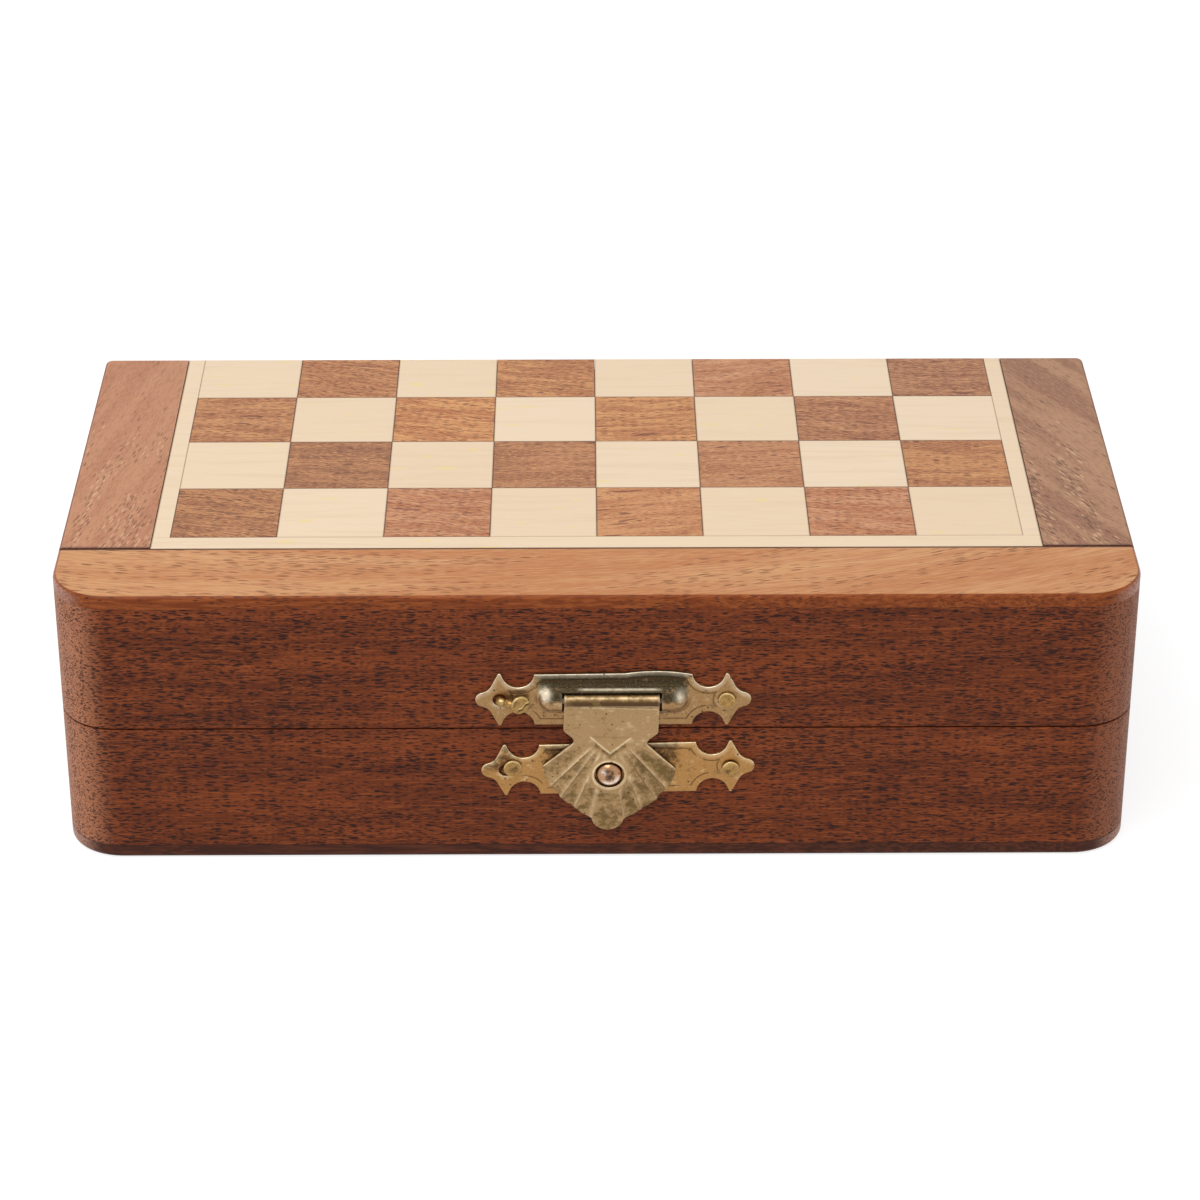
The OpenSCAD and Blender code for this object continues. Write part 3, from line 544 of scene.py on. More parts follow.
def plain_metal(name, base_colour, dark_colour, rough, metallic=0.9):
    """Small turned or drawn parts: a brushed finish with faint stains."""
    s = Shader(name)
    brushed = s.noise(s.place, (2.2, 0.3, 0.3), 3, 0.6)
    stain = s.noise(s.place, (1.6, 1.6, 1.6), 3, 0.6)
    base = s.mix(s.step(stain, 0.42, 0.75), base_colour, dark_colour)
    base = s.layer(base, s.step(brushed, 0.5, 0.8), 0.3, dark_colour)
    roughness = s.plus(rough, s.times(s.step(stain, 0.4, 0.8), 0.15))
    return s.finish(base, roughness, s.bump(brushed, 0.00003, 0.4), Metallic=metallic)


def felt():
    """Green felt: matted short fibres, a little lighter where they stand up."""
    s = Shader("green_felt")
    tuft = s.noise(s.place, (0.5, 0.5, 0.5), 4, 0.7)
    cloud = s.noise(s.place, (14, 14, 14), 2)
    base = s.mix(s.step(tuft, 0.35, 0.7), (20, 62, 40), (42, 98, 64))
    base = s.layer(base, s.step(cloud, 0.4, 0.7), 0.3, (52, 106, 72))
    return s.finish(base, 0.95, s.bump(tuft, 0.0002, 0.8), Sheen_Weight=0.3, Sheen_Roughness=0.5)


ANTIQUE = brass("antique_brass", (162, 124, 78), (58, 45, 20), (255, 240, 212), (3, 5, 1))
RUBBED = brass("rubbed_brass", (170, 137, 94), (116, 90, 50), (246, 222, 180), (7, 3, 2))
YELLOWED = brass("yellowed_brass", (174, 128, 72), (92, 62, 30), (252, 230, 186), (9, 2, 6))
NAIL_BRASS = brass(
    "nail_brass", (168, 130, 74), (84, 60, 30), (240, 214, 150), (5, 8, 3), 0.75, 0.36, 1.4)
HINGE_BRASS = plain_metal("hinge_brass", (192, 160, 96), (138, 110, 62), 0.34)
STEEL = plain_metal("bright_steel", (190, 188, 184), (128, 124, 118), 0.3, 1.0)
LATCH_PIN = plain_metal("dull_steel", (120, 108, 88), (66, 56, 42), 0.42, 0.8)
PLATED = brass("plated_stud", (178, 132, 96), (52, 40, 32), (255, 244, 228), (2, 7, 7), 0.85, 0.22, 0.3)
WALL = wall_wood("wall_wood", False)
SIDE_WALL = wall_wood("side_wall_wood", True)
PLANK = plank_wood("plank_wood", (126, 58, 20), (160, 84, 38))
# The base's plank: the same wood with its edge painted darker, as painted shade low down near the floor
SHADED_BASE_PLANK = plank_wood("shaded_base_plank_wood", (62, 27, 14), (96, 48, 28))
LEFT_PLANK = side_plank_wood(
    "left_plank_wood", (208, 152, 116), (190, 130, 98), (136, 88, 60), -14, 0.6,
    ((-79, -40, 0), (4.2, 26, 26)))
RIGHT_PLANK = side_plank_wood(
    "right_plank_wood", (196, 150, 116), (160, 114, 88), (100, 66, 50), 30, 0.7,
    ((96, 20, 0), (9.0, 40, 40)))
DARK_SQUARE = dark_square_wood()
LIGHT = light_wood("light_wood", False)
STRIP = light_wood("light_strip_wood", True)
PLYWOOD = plywood()
FELT = felt()

FINISH_OF = (
    ("left_wall", SIDE_WALL),
    ("right_wall", SIDE_WALL),
    ("_wall", WALL),
    ("base_front_border", SHADED_BASE_PLANK),
    ("front_border", PLANK),
    ("left_border", LEFT_PLANK),
    ("right_border", RIGHT_PLANK),
    ("_strip", STRIP),
    ("light_squares", LIGHT),
    ("dark_squares", DARK_SQUARE),
    ("backing_board", PLYWOOD),
    ("_leaf", HINGE_BRASS),
    ("hinge_pin", STEEL),
    ("hinge_screws", HINGE_BRASS),
    ("latch_pin", LATCH_PIN),
)
for name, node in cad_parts.items():
    found = [material for ending, material in FINISH_OF if name.endswith(ending)]
    if found:
        node.data.materials.clear()
        node.data.materials.append(found[0])


def arc(middle, radius, start, end, pitch=PITCH):
    """Points of an arc between two angles in degrees, both ends included."""
    steps = max(2, math.ceil(abs(math.radians(end - start)) * radius / pitch))
    turns = np.radians(np.linspace(start, end, steps + 1))
    return [(middle[0] + radius * math.cos(t), middle[1] + radius * math.sin(t)) for t in turns]


def resample(loop, pitch):
    """Closed outline with no side longer than pitch."""
    loop = np.array(loop, float)
    points = []
    for a, b in zip(loop, np.roll(loop, -1, axis=0)):
        length = np.linalg.norm(b - a)
        if length > 1e-4:
            count = max(1, math.ceil(length / pitch))
            points += [a + (b - a) * k / count for k in range(count)]
    return np.array(points)


def inside(points, loop):
    """Which points lie within a closed outline."""
    x, y = points[:, 0], points[:, 1]
    result = np.zeros(len(points), bool)
    for (x0, y0), (x1, y1) in zip(loop, np.roll(loop, -1, axis=0)):
        if y0 != y1:
            result ^= ((y0 > y) != (y1 > y)) & (x < (x1 - x0) * (y - y0) / (y1 - y0) + x0)
    return result


def to_edge(points, loops):
    """Distance of each point to the nearest of the outlines."""
    best = np.full(len(points), np.inf)
    for loop in loops:
        for a, b in zip(loop, np.roll(loop, -1, axis=0)):
            side = b - a
            share = np.clip((points - a) @ side / max(side @ side, 1e-12), 0, 1)
            best = np.minimum(best, np.linalg.norm(points - a - share[:, None] * side, axis=1))
    return best


def smooth(value, low, high):
    share = np.clip((value - low) / (high - low), 0, 1)
    return share * share * (3 - 2 * share)


def bell(offset, width):
    """1 where offset is 0, fading over about width on both sides."""
    return np.exp(-(offset / width) ** 2)


def within(points, loops):
    """Which points lie in the first outline and in none of the others."""
    result = inside(points, loops[0])
    for hole in loops[1:]:
        result &= ~inside(points, hole)
    return result


def offset_rings(loops, offsets):
    """Points at the given distances inwards from the outlines."""
    rings = []
    for loop in loops:
        along = np.roll(loop, -1, axis=0) - np.roll(loop, 1, axis=0)
        across = np.stack([-along[:, 1], along[:, 0]], axis=1)
        across /= np.linalg.norm(across, axis=1)[:, None] + 1e-9
        for offset in offsets:
            for side in (-1, 1):
                ring = loop + side * offset * across
                ring = ring[within(ring, loops)]
                rings.append(ring[to_edge(ring, loops) > 0.9 * offset])
    return np.concatenate(rings)


def triangulate(points, loops):
    """Points and triangles that fill the first outline, leaving the other outlines open."""
    edges = []
    start = 0
    for loop in loops:
        edges += [(start + k, start + (k + 1) % len(loop)) for k in range(len(loop))]
        start += len(loop)
    everything = np.concatenate([*loops, points])
    made = geometry.delaunay_2d_cdt([Vector(p) for p in everything], edges, [], 0, 1e-6)
    flat = np.array([tuple(p) for p in made[0]])
    faces = np.array([face for face in made[2] if len(face) == 3])
    return flat, faces[within(flat[faces].mean(axis=1), loops)]


def turned(points, degrees):
    angle = math.radians(degrees)
    matrix = np.array([[math.cos(angle), -math.sin(angle)], [math.sin(angle), math.cos(angle)]])
    return points @ matrix.T


def eased(outline, size, least=25):
    """Outline with every corner that turns by more than least degrees cut round, size from the corner."""
    outline = np.array(outline, float)
    keep = np.linalg.norm(outline - np.roll(outline, 1, axis=0), axis=1) > 1e-6
    outline = outline[keep]
    result = []
    for before, corner, after in zip(np.roll(outline, 1, axis=0), outline, np.roll(outline, -1, axis=0)):
        back, ahead = before - corner, after - corner
        back_length, ahead_length = np.linalg.norm(back), np.linalg.norm(ahead)
        turn = math.degrees(math.acos(np.clip(-(back @ ahead) / back_length / ahead_length, -1, 1)))
        if turn < least:
            result.append(corner)
            continue
        reach = min(size, 0.45 * back_length, 0.45 * ahead_length)
        start = corner + back / back_length * reach
        end = corner + ahead / ahead_length * reach
        for t in (0, 0.25, 0.5, 0.75, 1):
            result.append((1 - t) ** 2 * start + 2 * t * (1 - t) * corner + t * t * end)
    return [tuple(point) for point in result]


def bands(rows, count):
    """Faces between neighbouring rows of count points, each row closed to a ring."""
    corners = [(row * count, k, (k + 1) % count) for row in range(rows - 1) for k in range(count)]
    return [(low + k, low + n, low + count + n, low + count + k) for low, k, n in corners]


def relief(outline, holes, front, back, paint, edge, pitch, rings=(), extra=None):
    """A closed sheet between front(x, y, gap) and back(x, y) with rounded front edges.

    Returns points as x, height on the face and distance out of it, the faces, and paint(x, y, gap) as
    three values for each point: how worn and brightened by painted highlight, how much patina and painted
    shade, and how near to the pressed line it is; the first also gets a painted highlight along edges that
    face upwards."""
    loops = [resample(loop, pitch) for loop in (outline, *holes)]
    low, high = loops[0].min(axis=0), loops[0].max(axis=0)
    xs = np.arange(low[0], high[0], pitch)
    ys = np.arange(low[1], high[1], pitch)
    grid = np.stack(np.meshgrid(xs, ys), axis=-1).reshape(-1, 2)
    insets = [edge * share for share in (0.12, 0.4, 1.0)] + list(rings)
    grid = grid[within(grid, loops)]
    grid = grid[to_edge(grid, loops) > max(insets) + 0.6 * pitch]
    fill = [offset_rings(loops, insets), grid]
    if extra is not None:
        extra = extra[within(extra, loops)]
        fill.append(extra[to_edge(extra, loops) > edge])
    flat, faces = triangulate(np.concatenate(fill), loops)
    gap = to_edge(flat, loops)
    x, y = flat[:, 0], flat[:, 1]
    rounding = edge - np.sqrt(np.maximum(edge ** 2 - np.clip(edge - gap, 0, edge) ** 2, 0))
    behind = back(x, y)
    ahead = np.maximum(front(x, y, gap) - rounding, behind + 0.05)
    count = len(flat)
    points = np.concatenate([np.column_stack([flat, ahead]), np.column_stack([flat, behind])])
    sides = dict.fromkeys(pair for a, b, c in faces for pair in ((a, b), (b, c), (c, a)))
    walls = [(a + count, b + count, b, a) for a, b in sides if (b, a) not in sides]
    under = [(c + count, b + count, a + count) for a, b, c in faces]
    # Painted highlight: the rounded edges that face upwards are bright, as if lit from above
    lift = 0.02
    upward = (gap - to_edge(flat + (0, lift), loops)) / lift
    rim = smooth(gap, 1.35 * edge, 0.4 * edge) * np.clip(0.15 + 1.3 * upward, 0, 1)
    painted = paint(x, y, gap)
    painted[:, 0] = np.maximum(painted[:, 0], rim)
    return points, [*map(tuple, faces), *under, *walls], np.tile(painted, (2, 1))


def lathe(profile, middle, turns=48, hollow=0.0):
    """A closed round piece from (radius, out) pairs, the first and last on its axis."""
    points = []
    for radius, out in profile[1:-1]:
        for k in range(turns):
            angle = 2 * math.pi * k / turns
            points.append((middle[0] + radius * math.cos(angle), middle[1] + radius * math.sin(angle), out))
    rows = len(profile) - 2
    faces = bands(rows, turns)
    for row, (radius, out) in ((0, profile[0]), (rows - 1, profile[-1])):
        points.append((middle[0], middle[1], out))
        last = len(points) - 1
        for k in range(turns):
            a, b = row * turns + k, row * turns + (k + 1) % turns
            faces.append((last, b, a) if row == 0 else (last, a, b))
    points = np.array(points, float)
    return points, faces, np.tile((0, hollow, 0), (len(points), 1))


def joined(parts):
    """Several of the shapes above as one."""
    points, faces, paints = [], [], []
    start = 0
    for p, f, paint in parts:
        points.append(p)
        faces += [tuple(int(k) + start for k in face) for face in f]
        paints.append(paint)
        start += len(p)
    return np.concatenate(points), faces, np.concatenate(paints)


def on_front(shape, x, z):
    """Moves a shape drawn about its own middle to x and z above the seam on the front face."""
    points, faces, paint = shape
    across, up, out = points.T
    return np.column_stack([across + x, FRONT_Y - out, up + z + SEAM_Z]), faces, paint


def placed(name, data):
    """A new object of the scene."""
    made = bpy.data.objects.new(name, data)
    bpy.context.scene.collection.objects.link(made)
    return made


def piece(name, shape, material, body, slot, *nodes, sharp=38):
    """A mesh object that rides on a body and stands for the given nodes."""
    points, faces, paint = shape
    mesh = bpy.data.meshes.new(name)
    mesh.from_pydata([tuple(p) for p in points * MM], [], [tuple(int(k) for k in f) for f in faces])
    mesh.validate()
    for column, key in enumerate(("rim", "hollow", "line")):
        layer = mesh.attributes.new(key, "FLOAT", "POINT")
        layer.data.foreach_set("value", np.asarray(paint[:, column], np.float32))
    mesh.shade_smooth()
    mesh.set_sharp_from_angle(angle=math.radians(sharp))
    mesh.materials.append(material)
    made = placed(name, mesh)
    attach(made, body)
    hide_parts(*nodes)
    return made


def angle_to(point, middle):
    return math.degrees(math.atan2(point[1] - middle[1], point[0] - middle[0]))


def touch_angle(point, middle, radius, side):
    """Angle at which a straight line from a point touches a circle, on the given side of it."""
    return angle_to(point, middle) + side * math.degrees(math.acos(radius / math.dist(point, middle)))


def plate_outline(dent=0.0):
    """Outline of a latch plate, anticlockwise from the right end of its lower edge."""
    tip = (PLATE_LENGTH / 2 - TIP, 0)
    point_in, point_out = ((NAIL_X + side * POINT_WIDTH / 2, POINT_HEIGHT) for side in (-1, 1))
    inner = (PLATE_MIDDLE / 2 + INNER_HOLLOW, INNER_HOLLOW_HEIGHT)
    outer_x = NAIL_X + OUTER_HOLLOW_REACH
    outer = (outer_x, math.sqrt((OUTER_HOLLOW + TIP) ** 2 - (outer_x - tip[0]) ** 2))
    start = 180 + math.degrees(math.asin((INNER_HOLLOW_HEIGHT - PLATE_HEIGHT / 2) / INNER_HOLLOW))
    leave = 360 + touch_angle(point_in, inner, INNER_HOLLOW, -1)
    enter = touch_angle(point_out, outer, OUTER_HOLLOW, 1)
    tip_turn = angle_to(outer, tip)
    upper = arc(tip, TIP, 0, tip_turn)
    upper += arc(outer, OUTER_HOLLOW, 180 + tip_turn, enter) + [point_out, point_in]
    upper += arc(inner, INNER_HOLLOW, leave, start)
    lower = [(x, -y) for x, y in reversed(upper)]
    right = lower + upper
    left = [(-x, -y) for x, y in right]
    bow = []
    if dent:
        end = upper[-1][0]
        steps = [k / 12 for k in range(1, 12)]
        bow = [(end + (DENT_START - end) * t, PLATE_HEIGHT / 2 + 4 * dent * t * (1 - t)) for t in steps]
    return eased(right + bow + left, 0.3)


def pressed_line(x, y, gap):
    """How near a point is to the line that follows the edge of a plate between its nail heads."""
    near = np.clip(1 - ((gap - LINE_INSET - LINE_WIDTH / 2) / (0.5 * LINE_WIDTH)) ** 2, 0, 1)
    return near * smooth(np.abs(x), NAIL_X - NAIL_HEAD + 0.4, NAIL_X - NAIL_HEAD - 0.2)


LINE_RINGS = tuple(LINE_INSET + LINE_WIDTH * share for share in (-0.2, 0.1, 0.3, 0.5, 0.7, 0.9, 1.2))
NAIL_HOLES = [arc((side * NAIL_X, 0), NAIL_HOLE, 0, 360, 0.2)[:-1] for side in (-1, 1)]


def spot(x, y, middle, size):
    return np.exp(-((x - middle[0]) ** 2 + (y - middle[1]) ** 2) / size ** 2)


def upper_plate():
    """Plate with a half-barrel that holds the hasp's pin, open in front where the hasp turns."""
    rise = PIVOT_Z - UPPER_Z
    straight = BARREL_LENGTH / 2 - BARREL
    inner = BARREL - BARREL_WALL
    width = HASP_WIDTH + 2 * WINDOW_PLAY
    left = HASP_X - UPPER_X - width / 2
    window = [(left, rise - BARREL), (left + width, rise - BARREL),
              (left + width, rise + WINDOW_TOP), (left, rise + WINDOW_TOP)]

    def across(x, y):
        return np.hypot(np.maximum(np.abs(x) - straight, 0), y - rise)

    def front(x, y, gap):
        reach = across(x, y)
        dome = np.sqrt(np.maximum(BARREL ** 2 - reach ** 2, 0))
        foot = SHEET + FOOT_HEIGHT * np.clip(1 - (reach - BARREL) / FOOT_WIDTH, 0, 1) ** 2
        foot = np.where(reach < BARREL, SHEET + FOOT_HEIGHT, foot)
        groove = GROOVE * pressed_line(x, y, gap) * smooth(reach, BARREL + 0.5, BARREL + 0.9)
        return np.maximum(dome, foot - groove)

    def back(x, y):
        reach = across(x, y)
        return np.sqrt(np.maximum(inner ** 2 - reach ** 2, 0))

    def paint(x, y, gap):
        reach = across(x, y)
        above = smooth(y - rise, -0.6, 1.2) * smooth(np.abs(x), 13.2, 11.0)
        foot = bell(reach - BARREL - 0.1, 0.16) * smooth(y - rise, 0.6, -0.4)
        # Painted highlights: a thin line along the barrel's crest and spots on the upper sides of its ends
        crest = bell(y - rise - 2.02, 0.09) * smooth(np.abs(x - 1), 7.5, 5.5) * 0.6
        ends = 1.5 * spot(x, y, (-11.3, rise + 1.2), 0.8) + 0.8 * spot(x, y, (11.1, rise + 1.0), 0.8)
        pressed = pressed_line(x, y, gap) ** 3 * smooth(reach, BARREL + 0.2, BARREL + 0.6)
        high = smooth(y, 3.4, 4.4) * smooth(np.abs(x), 13.5, 12.5)
        tarnish_and_shade = np.maximum(1.25 * above, 0.8 * high)
        return np.column_stack([np.clip(crest + ends, 0, 1), tarnish_and_shade, np.maximum(pressed, 0.7 * foot)])

    capsules = []
    for reach in (3.1, 2.9, 2.7, 2.5, 2.38, 2.3, 2.2, 2.05, 1.85, 1.6, 1.25, 0.85, 0.4):
        ends = arc((straight, rise), reach, -90, 90) + arc((-straight, rise), reach, 90, 270)
        capsules.append(resample(ends, 0.3))
    shape = relief(plate_outline(DENT), NAIL_HOLES + [window], front, back, paint, PLATE_EDGE, PITCH,
                   LINE_RINGS, np.concatenate(capsules))
    return on_front(shape, UPPER_X, UPPER_Z)


def lower_plate():
    """Flat plate below the seam, nailed on a little askew, with a darker left end and painted shade where the
    hasp lies over it.
    """
    def front(x, y, gap):
        return SHEET - GROOVE * pressed_line(x, y, gap)

    def back(x, y):
        return np.zeros(len(x))

    def paint(x, y, gap):
        left_end = smooth(x, -15, -18.5) * smooth(y, -2, 2)
        # Painted shade on the upper part of the plate, where the hasp lies over it
        shade_under_hasp = smooth(np.abs(x + 1.2), 12.5, 9.5) * smooth(y, -2, 3) * 0.9
        return np.column_stack([np.zeros(len(x)), np.maximum(0.7 * left_end, shade_under_hasp),
                                pressed_line(x, y, gap) ** 3])

    points, faces, painted = relief(
        plate_outline(), NAIL_HOLES, front, back, paint, PLATE_EDGE, PITCH, LINE_RINGS)
    points[:, :2] = turned(points[:, :2], LOWER_TURN)
    return on_front((points, faces, painted), LOWER_X, LOWER_Z)


# Ends of the hasp's lobes, as shares of the shield's half width and of the fall from its corner to its
# point, and the bow of the edge after each
CUSPS = ((1, 0, 0.6), (0.77, 0.415, 0.4), (0.507, 0.634, 0.35), (0.245, 0.797, 0.75), (0, 1, 0))
# How far below the pin the shell's ribs spread from, and the angles from straight down of the ribs and
# of the shell's side, in degrees
FAN_DROP = 5.6
RIBS = (9.4, 20.0, 31.0, 41.0)
FAN_SIDE = 58


def cusp_points():
    fall = HASP_DROP - CORNER_DROP
    return [(share_x * SHIELD_WIDTH / 2, -CORNER_DROP - share_y * fall) for share_x, share_y, bow in CUSPS]


def bowed(a, b, bow, steps=10):
    """Points of a bowed edge from a to b, without b."""
    a, b = np.array(a), np.array(b)
    out = np.array([-(b - a)[1], (b - a)[0]]) / np.linalg.norm(b - a)
    return [tuple(a + (b - a) * t + 4 * bow * t * (1 - t) * out) for t in np.arange(steps) / steps]


def hasp_outline():
    """Outline of the hasp's sheet below its roll, clockwise on the right and back on the left."""
    neck = (NECK_WIDTH / 2, -NECK_DROP)
    half = HASP_WIDTH / 2
    right = [(half, HASP_TOP), (half, -SHOULDER_DROP), (neck[0] + 0.3, neck[1] + 0.8), neck]
    ends = cusp_points()
    for k in range(len(ends) - 1):
        right += bowed(ends[k], ends[k + 1], CUSPS[k][2])
    return eased(right + [(0, -HASP_DROP)] + [(-x, y) for x, y in reversed(right)], 0.45)


def hasp():
    """Shield-shaped hasp, fluted like a shell, with its upper end rolled round the pin."""
    face = HASP_BACK + HASP_SHEET
    ribs = [-RIBS[0], *RIBS, FAN_SIDE]

    def polar(x, y):
        return np.hypot(x, y + FAN_DROP), np.abs(np.degrees(np.arctan2(x, -FAN_DROP - y)))

    def to_hole(x, y):
        return np.hypot(x, y + HOLE_DROP)

    def scoop(x, y):
        reach, angle = polar(x, y)
        deep = np.zeros(len(x))
        for a, b in zip(ribs, ribs[1:]):
            share = np.clip((angle - a) / (b - a), 0, 1)
            deep = np.where((angle >= a) & (angle < b), (4 * share * (1 - share)) ** 0.7, deep)
        return deep * smooth(reach, 3.4, 9.0) * smooth(to_hole(x, y), 2.9, 4.6)

    def ridge(x, y):
        reach, angle = polar(x, y)
        best = np.zeros(len(x))
        for middle in RIBS:
            aside = np.radians(angle - middle) * reach
            best = np.maximum(best, bell(aside, 0.26))
        clear = smooth(reach, 4.2, 6.0) * smooth(to_hole(x, y), 2.9, 3.8)
        return best * clear * (1 - 0.5 * smooth(reach, 10, 14))

    def under(x, y):
        """Distance up from the lower sides of the triangle."""
        slope = TRIANGLE_HEIGHT / (TRIANGLE_WIDTH / 2)
        return (y + TRIANGLE_DROP + TRIANGLE_HEIGHT - np.abs(x) * slope) / math.hypot(1, slope)

    def triangle(x, y):
        return smooth(np.minimum(-TRIANGLE_DROP - y, under(x, y)), 0.0, 0.22)

    def front(x, y, gap):
        rim = HOLE_RIM_HEIGHT * np.clip(1 - ((to_hole(x, y) - HOLE_RIM) / HOLE_RIM_WIDTH) ** 2, 0, 1)
        pressed = face + RIB_HEIGHT * ridge(x, y) - SCOOP_DEPTH * scoop(x, y)
        return pressed + rim - TRIANGLE_DEPTH * triangle(x, y)

    def back(x, y):
        return np.full(len(x), HASP_BACK)

    def paint(x, y, gap):
        reach = to_hole(x, y)
        # Bright metal, partly worn and partly painted highlight: the lower edges of the sunk triangle, the
        # rim round the hole, most at its upper left, and the ribs, more towards the left
        fold = bell(under(x, y) + 0.1, 0.13) * smooth(y, -TRIANGLE_DROP + 0.2, -TRIANGLE_DROP - 0.3)
        hole = bell(reach - 2.7, 0.22) * (0.55 + 0.45 * smooth(y + HOLE_DROP - x, -1.5, 2.5))
        ribs_share = (0.35 + 0.35 * smooth(x, 2, -3)) * ridge(x, y)
        on_fold = 0.8 * fold * (np.abs(x) < TRIANGLE_WIDTH / 2)
        rubbed_and_highlight = np.clip(ribs_share + on_fold + 0.8 * hole, 0, 1)
        # Painted shade: a shadow under the triangle's point, and the scoops darker towards the right, as if
        # lit from the left; the scoops and the lowest lobe also hold patina
        shade = bell(under(x, y) + 0.55, 0.35) * (y < -TRIANGLE_DROP) * (np.abs(x) < 2.6)
        side = smooth(x, -9, 9) * 0.35
        lobe = 0.15 * spot(x, y, (0.2, -HASP_DROP + 2.0), 2.4)
        tarnish_and_shade = np.clip(scoop(x, y) * (0.5 + side) + 0.8 * shade + lobe, 0, 1.2)
        return np.column_stack([rubbed_and_highlight, tarnish_and_shade, np.zeros(len(x))])

    hole = arc((0, -HOLE_DROP), HOLE, 0, 360, 0.2)[:-1]
    circles = [arc((0, -HOLE_DROP), r, 0, 360, 0.2)[:-1] for r in (2.6, 2.72, 2.85, 3.0, 3.15, 3.4)]
    rays = []
    for angle in [turn * side for turn in RIBS for side in (1, -1)]:
        t = math.radians(angle)
        for off in (-0.3, -0.14, 0, 0.14, 0.3):
            steps = np.arange(4.2, 20, 0.22)
            rays.append(np.column_stack([steps * math.sin(t) + off * math.cos(t),
                                         -FAN_DROP - steps * math.cos(t) + off * math.sin(t)]))
    lines = []
    for off in (-0.2, -0.05, 0.08, 0.22):
        top, low = -TRIANGLE_DROP - off, -TRIANGLE_DROP - TRIANGLE_HEIGHT + 1.3 * off
        wide = TRIANGLE_WIDTH / 2 - 1.5 * off
        lines.append(resample([(-wide, top), (wide, top), (0, low)], 0.12))
    extra = np.concatenate([*map(np.array, circles), *rays, *lines])
    points, faces, painted = relief(
        hasp_outline(), [hole], front, back, paint, HASP_EDGE, HASP_PITCH, extra=extra)
    points[:, :2] = turned(points[:, :2], -HASP_LEAN)
    return on_front(joined([(points, faces, painted), hasp_roll()]), HASP_X, PIVOT_Z)


def hasp_roll():
    """The rolled end: a strip that rises behind the pin, passes over it and ends in front of the flat."""
    face = HASP_BACK + HASP_SHEET - 0.02
    outer = arc((PIVOT_OUT, 0), ROLL, ROLL_END + 3, 245, 0.12)
    tail = [(HASP_BACK + 0.02, ROLL_TAIL), (face, ROLL_TAIL), (face, -0.62)]
    inner = arc((PIVOT_OUT, 0), ROLL_BORE, 260, ROLL_END + 6, 0.12)
    tip = (PIVOT_OUT + 0.95 * math.cos(math.radians(ROLL_END)), 0.95 * math.sin(math.radians(ROLL_END)))
    section = np.array([*outer, *tail, *inner, tip])
    count = len(section)
    half = HASP_WIDTH / 2
    stations = [-half, -half + 0.08, *np.linspace(-half + 0.4, half - 0.4, 12), half - 0.08, half]
    middle = np.array([PIVOT_OUT, 0])
    points = []
    for k, x in enumerate(stations):
        shrink = 0.94 if k in (0, len(stations) - 1) else 1.0
        ring = middle + (section - middle) * shrink
        points += [(x, up, out) for out, up in ring]
    faces = [(a, d, c, b) for a, b, c, d in bands(len(stations), count)]
    edges = [(i, (i + 1) % count) for i in range(count)]
    made = geometry.delaunay_2d_cdt([Vector(p) for p in section], edges, [], 0, 1e-7)
    flat = np.array([tuple(p) for p in made[0]])
    caps = [f for f in made[2] if inside(flat[list(f)].mean(axis=0)[None], section)[0]]
    last = (len(stations) - 1) * count
    faces += [tuple(f) for f in caps] + [tuple(i + last for i in reversed(f)) for f in caps]
    points = np.array(points)
    up = points[:, 1]
    # Painted highlights: a line along the top of the roll, a line at the hem where the flat starts, and its
    # two ends
    top = bell(up - 0.8, 0.13) * (points[:, 2] > PIVOT_OUT)
    tips = 0.7 * smooth(np.abs(points[:, 0]), half - 0.25, half)
    hem = 0.8 * bell(up + 0.66, 0.06)
    rubbed_and_highlight = np.maximum(np.maximum(0.3 * top, hem), tips * (up > -0.6))
    # Painted shade on the roll's lower side, which faces downwards, over an even patina
    tarnish_and_shade = 0.6 + 1.0 * smooth(up, 0.6, -0.1) * (up > -0.62)
    shade_below_roll = 0.85 * smooth(up, 0.7, 0.0) * (up > -0.6)
    return points, faces, np.column_stack([rubbed_and_highlight, tarnish_and_shade, shade_below_roll])


def stud():
    """Domed stud that stands through the hasp's hole, dark in the middle as a painted reflection, darker
    near its edge, and bright with painted highlights at its lower right and upper left.
    """
    turns = np.linspace(0, math.pi / 2, 14)
    dome = [(STUD * math.cos(t) ** 0.9, STUD_SIDE + (STUD_OUT - STUD_SIDE) * math.sin(t)) for t in turns]
    profile = [(0, SHEET), (STUD - 0.1, SHEET), (STUD, SHEET + 0.1), *dome[:-1], (0, STUD_OUT)]
    points, faces, paint = lathe(profile, (0, 0))
    x, y = points[:, 0], points[:, 1]
    turn = np.degrees(np.arctan2(y, x))
    from_low = np.abs((turn + 70 + 180) % 360 - 180)
    # Painted highlights: a crescent at the lower right and a glint at the upper left; the dark middle is a
    # painted reflection
    crescent = bell(np.hypot(x, y) - 1.4, 0.4) * smooth(from_low, 95, 35)
    spark = spot(x, y, (-0.95, 0.85), 0.4)
    dark = np.maximum(spot(x, y, (0.05, 0.4), 0.95), 0.8 * smooth(np.hypot(x, y), 1.95, 2.18))
    lean = math.radians(HASP_LEAN)
    place = (HASP_X - HOLE_DROP * math.sin(lean), PIVOT_Z - HOLE_DROP * math.cos(lean))
    paint = np.column_stack([np.clip(crescent + 0.8 * spark, 0, 1), 1.3 * dark, np.zeros(len(x))])
    return on_front((points, faces, paint), *place)


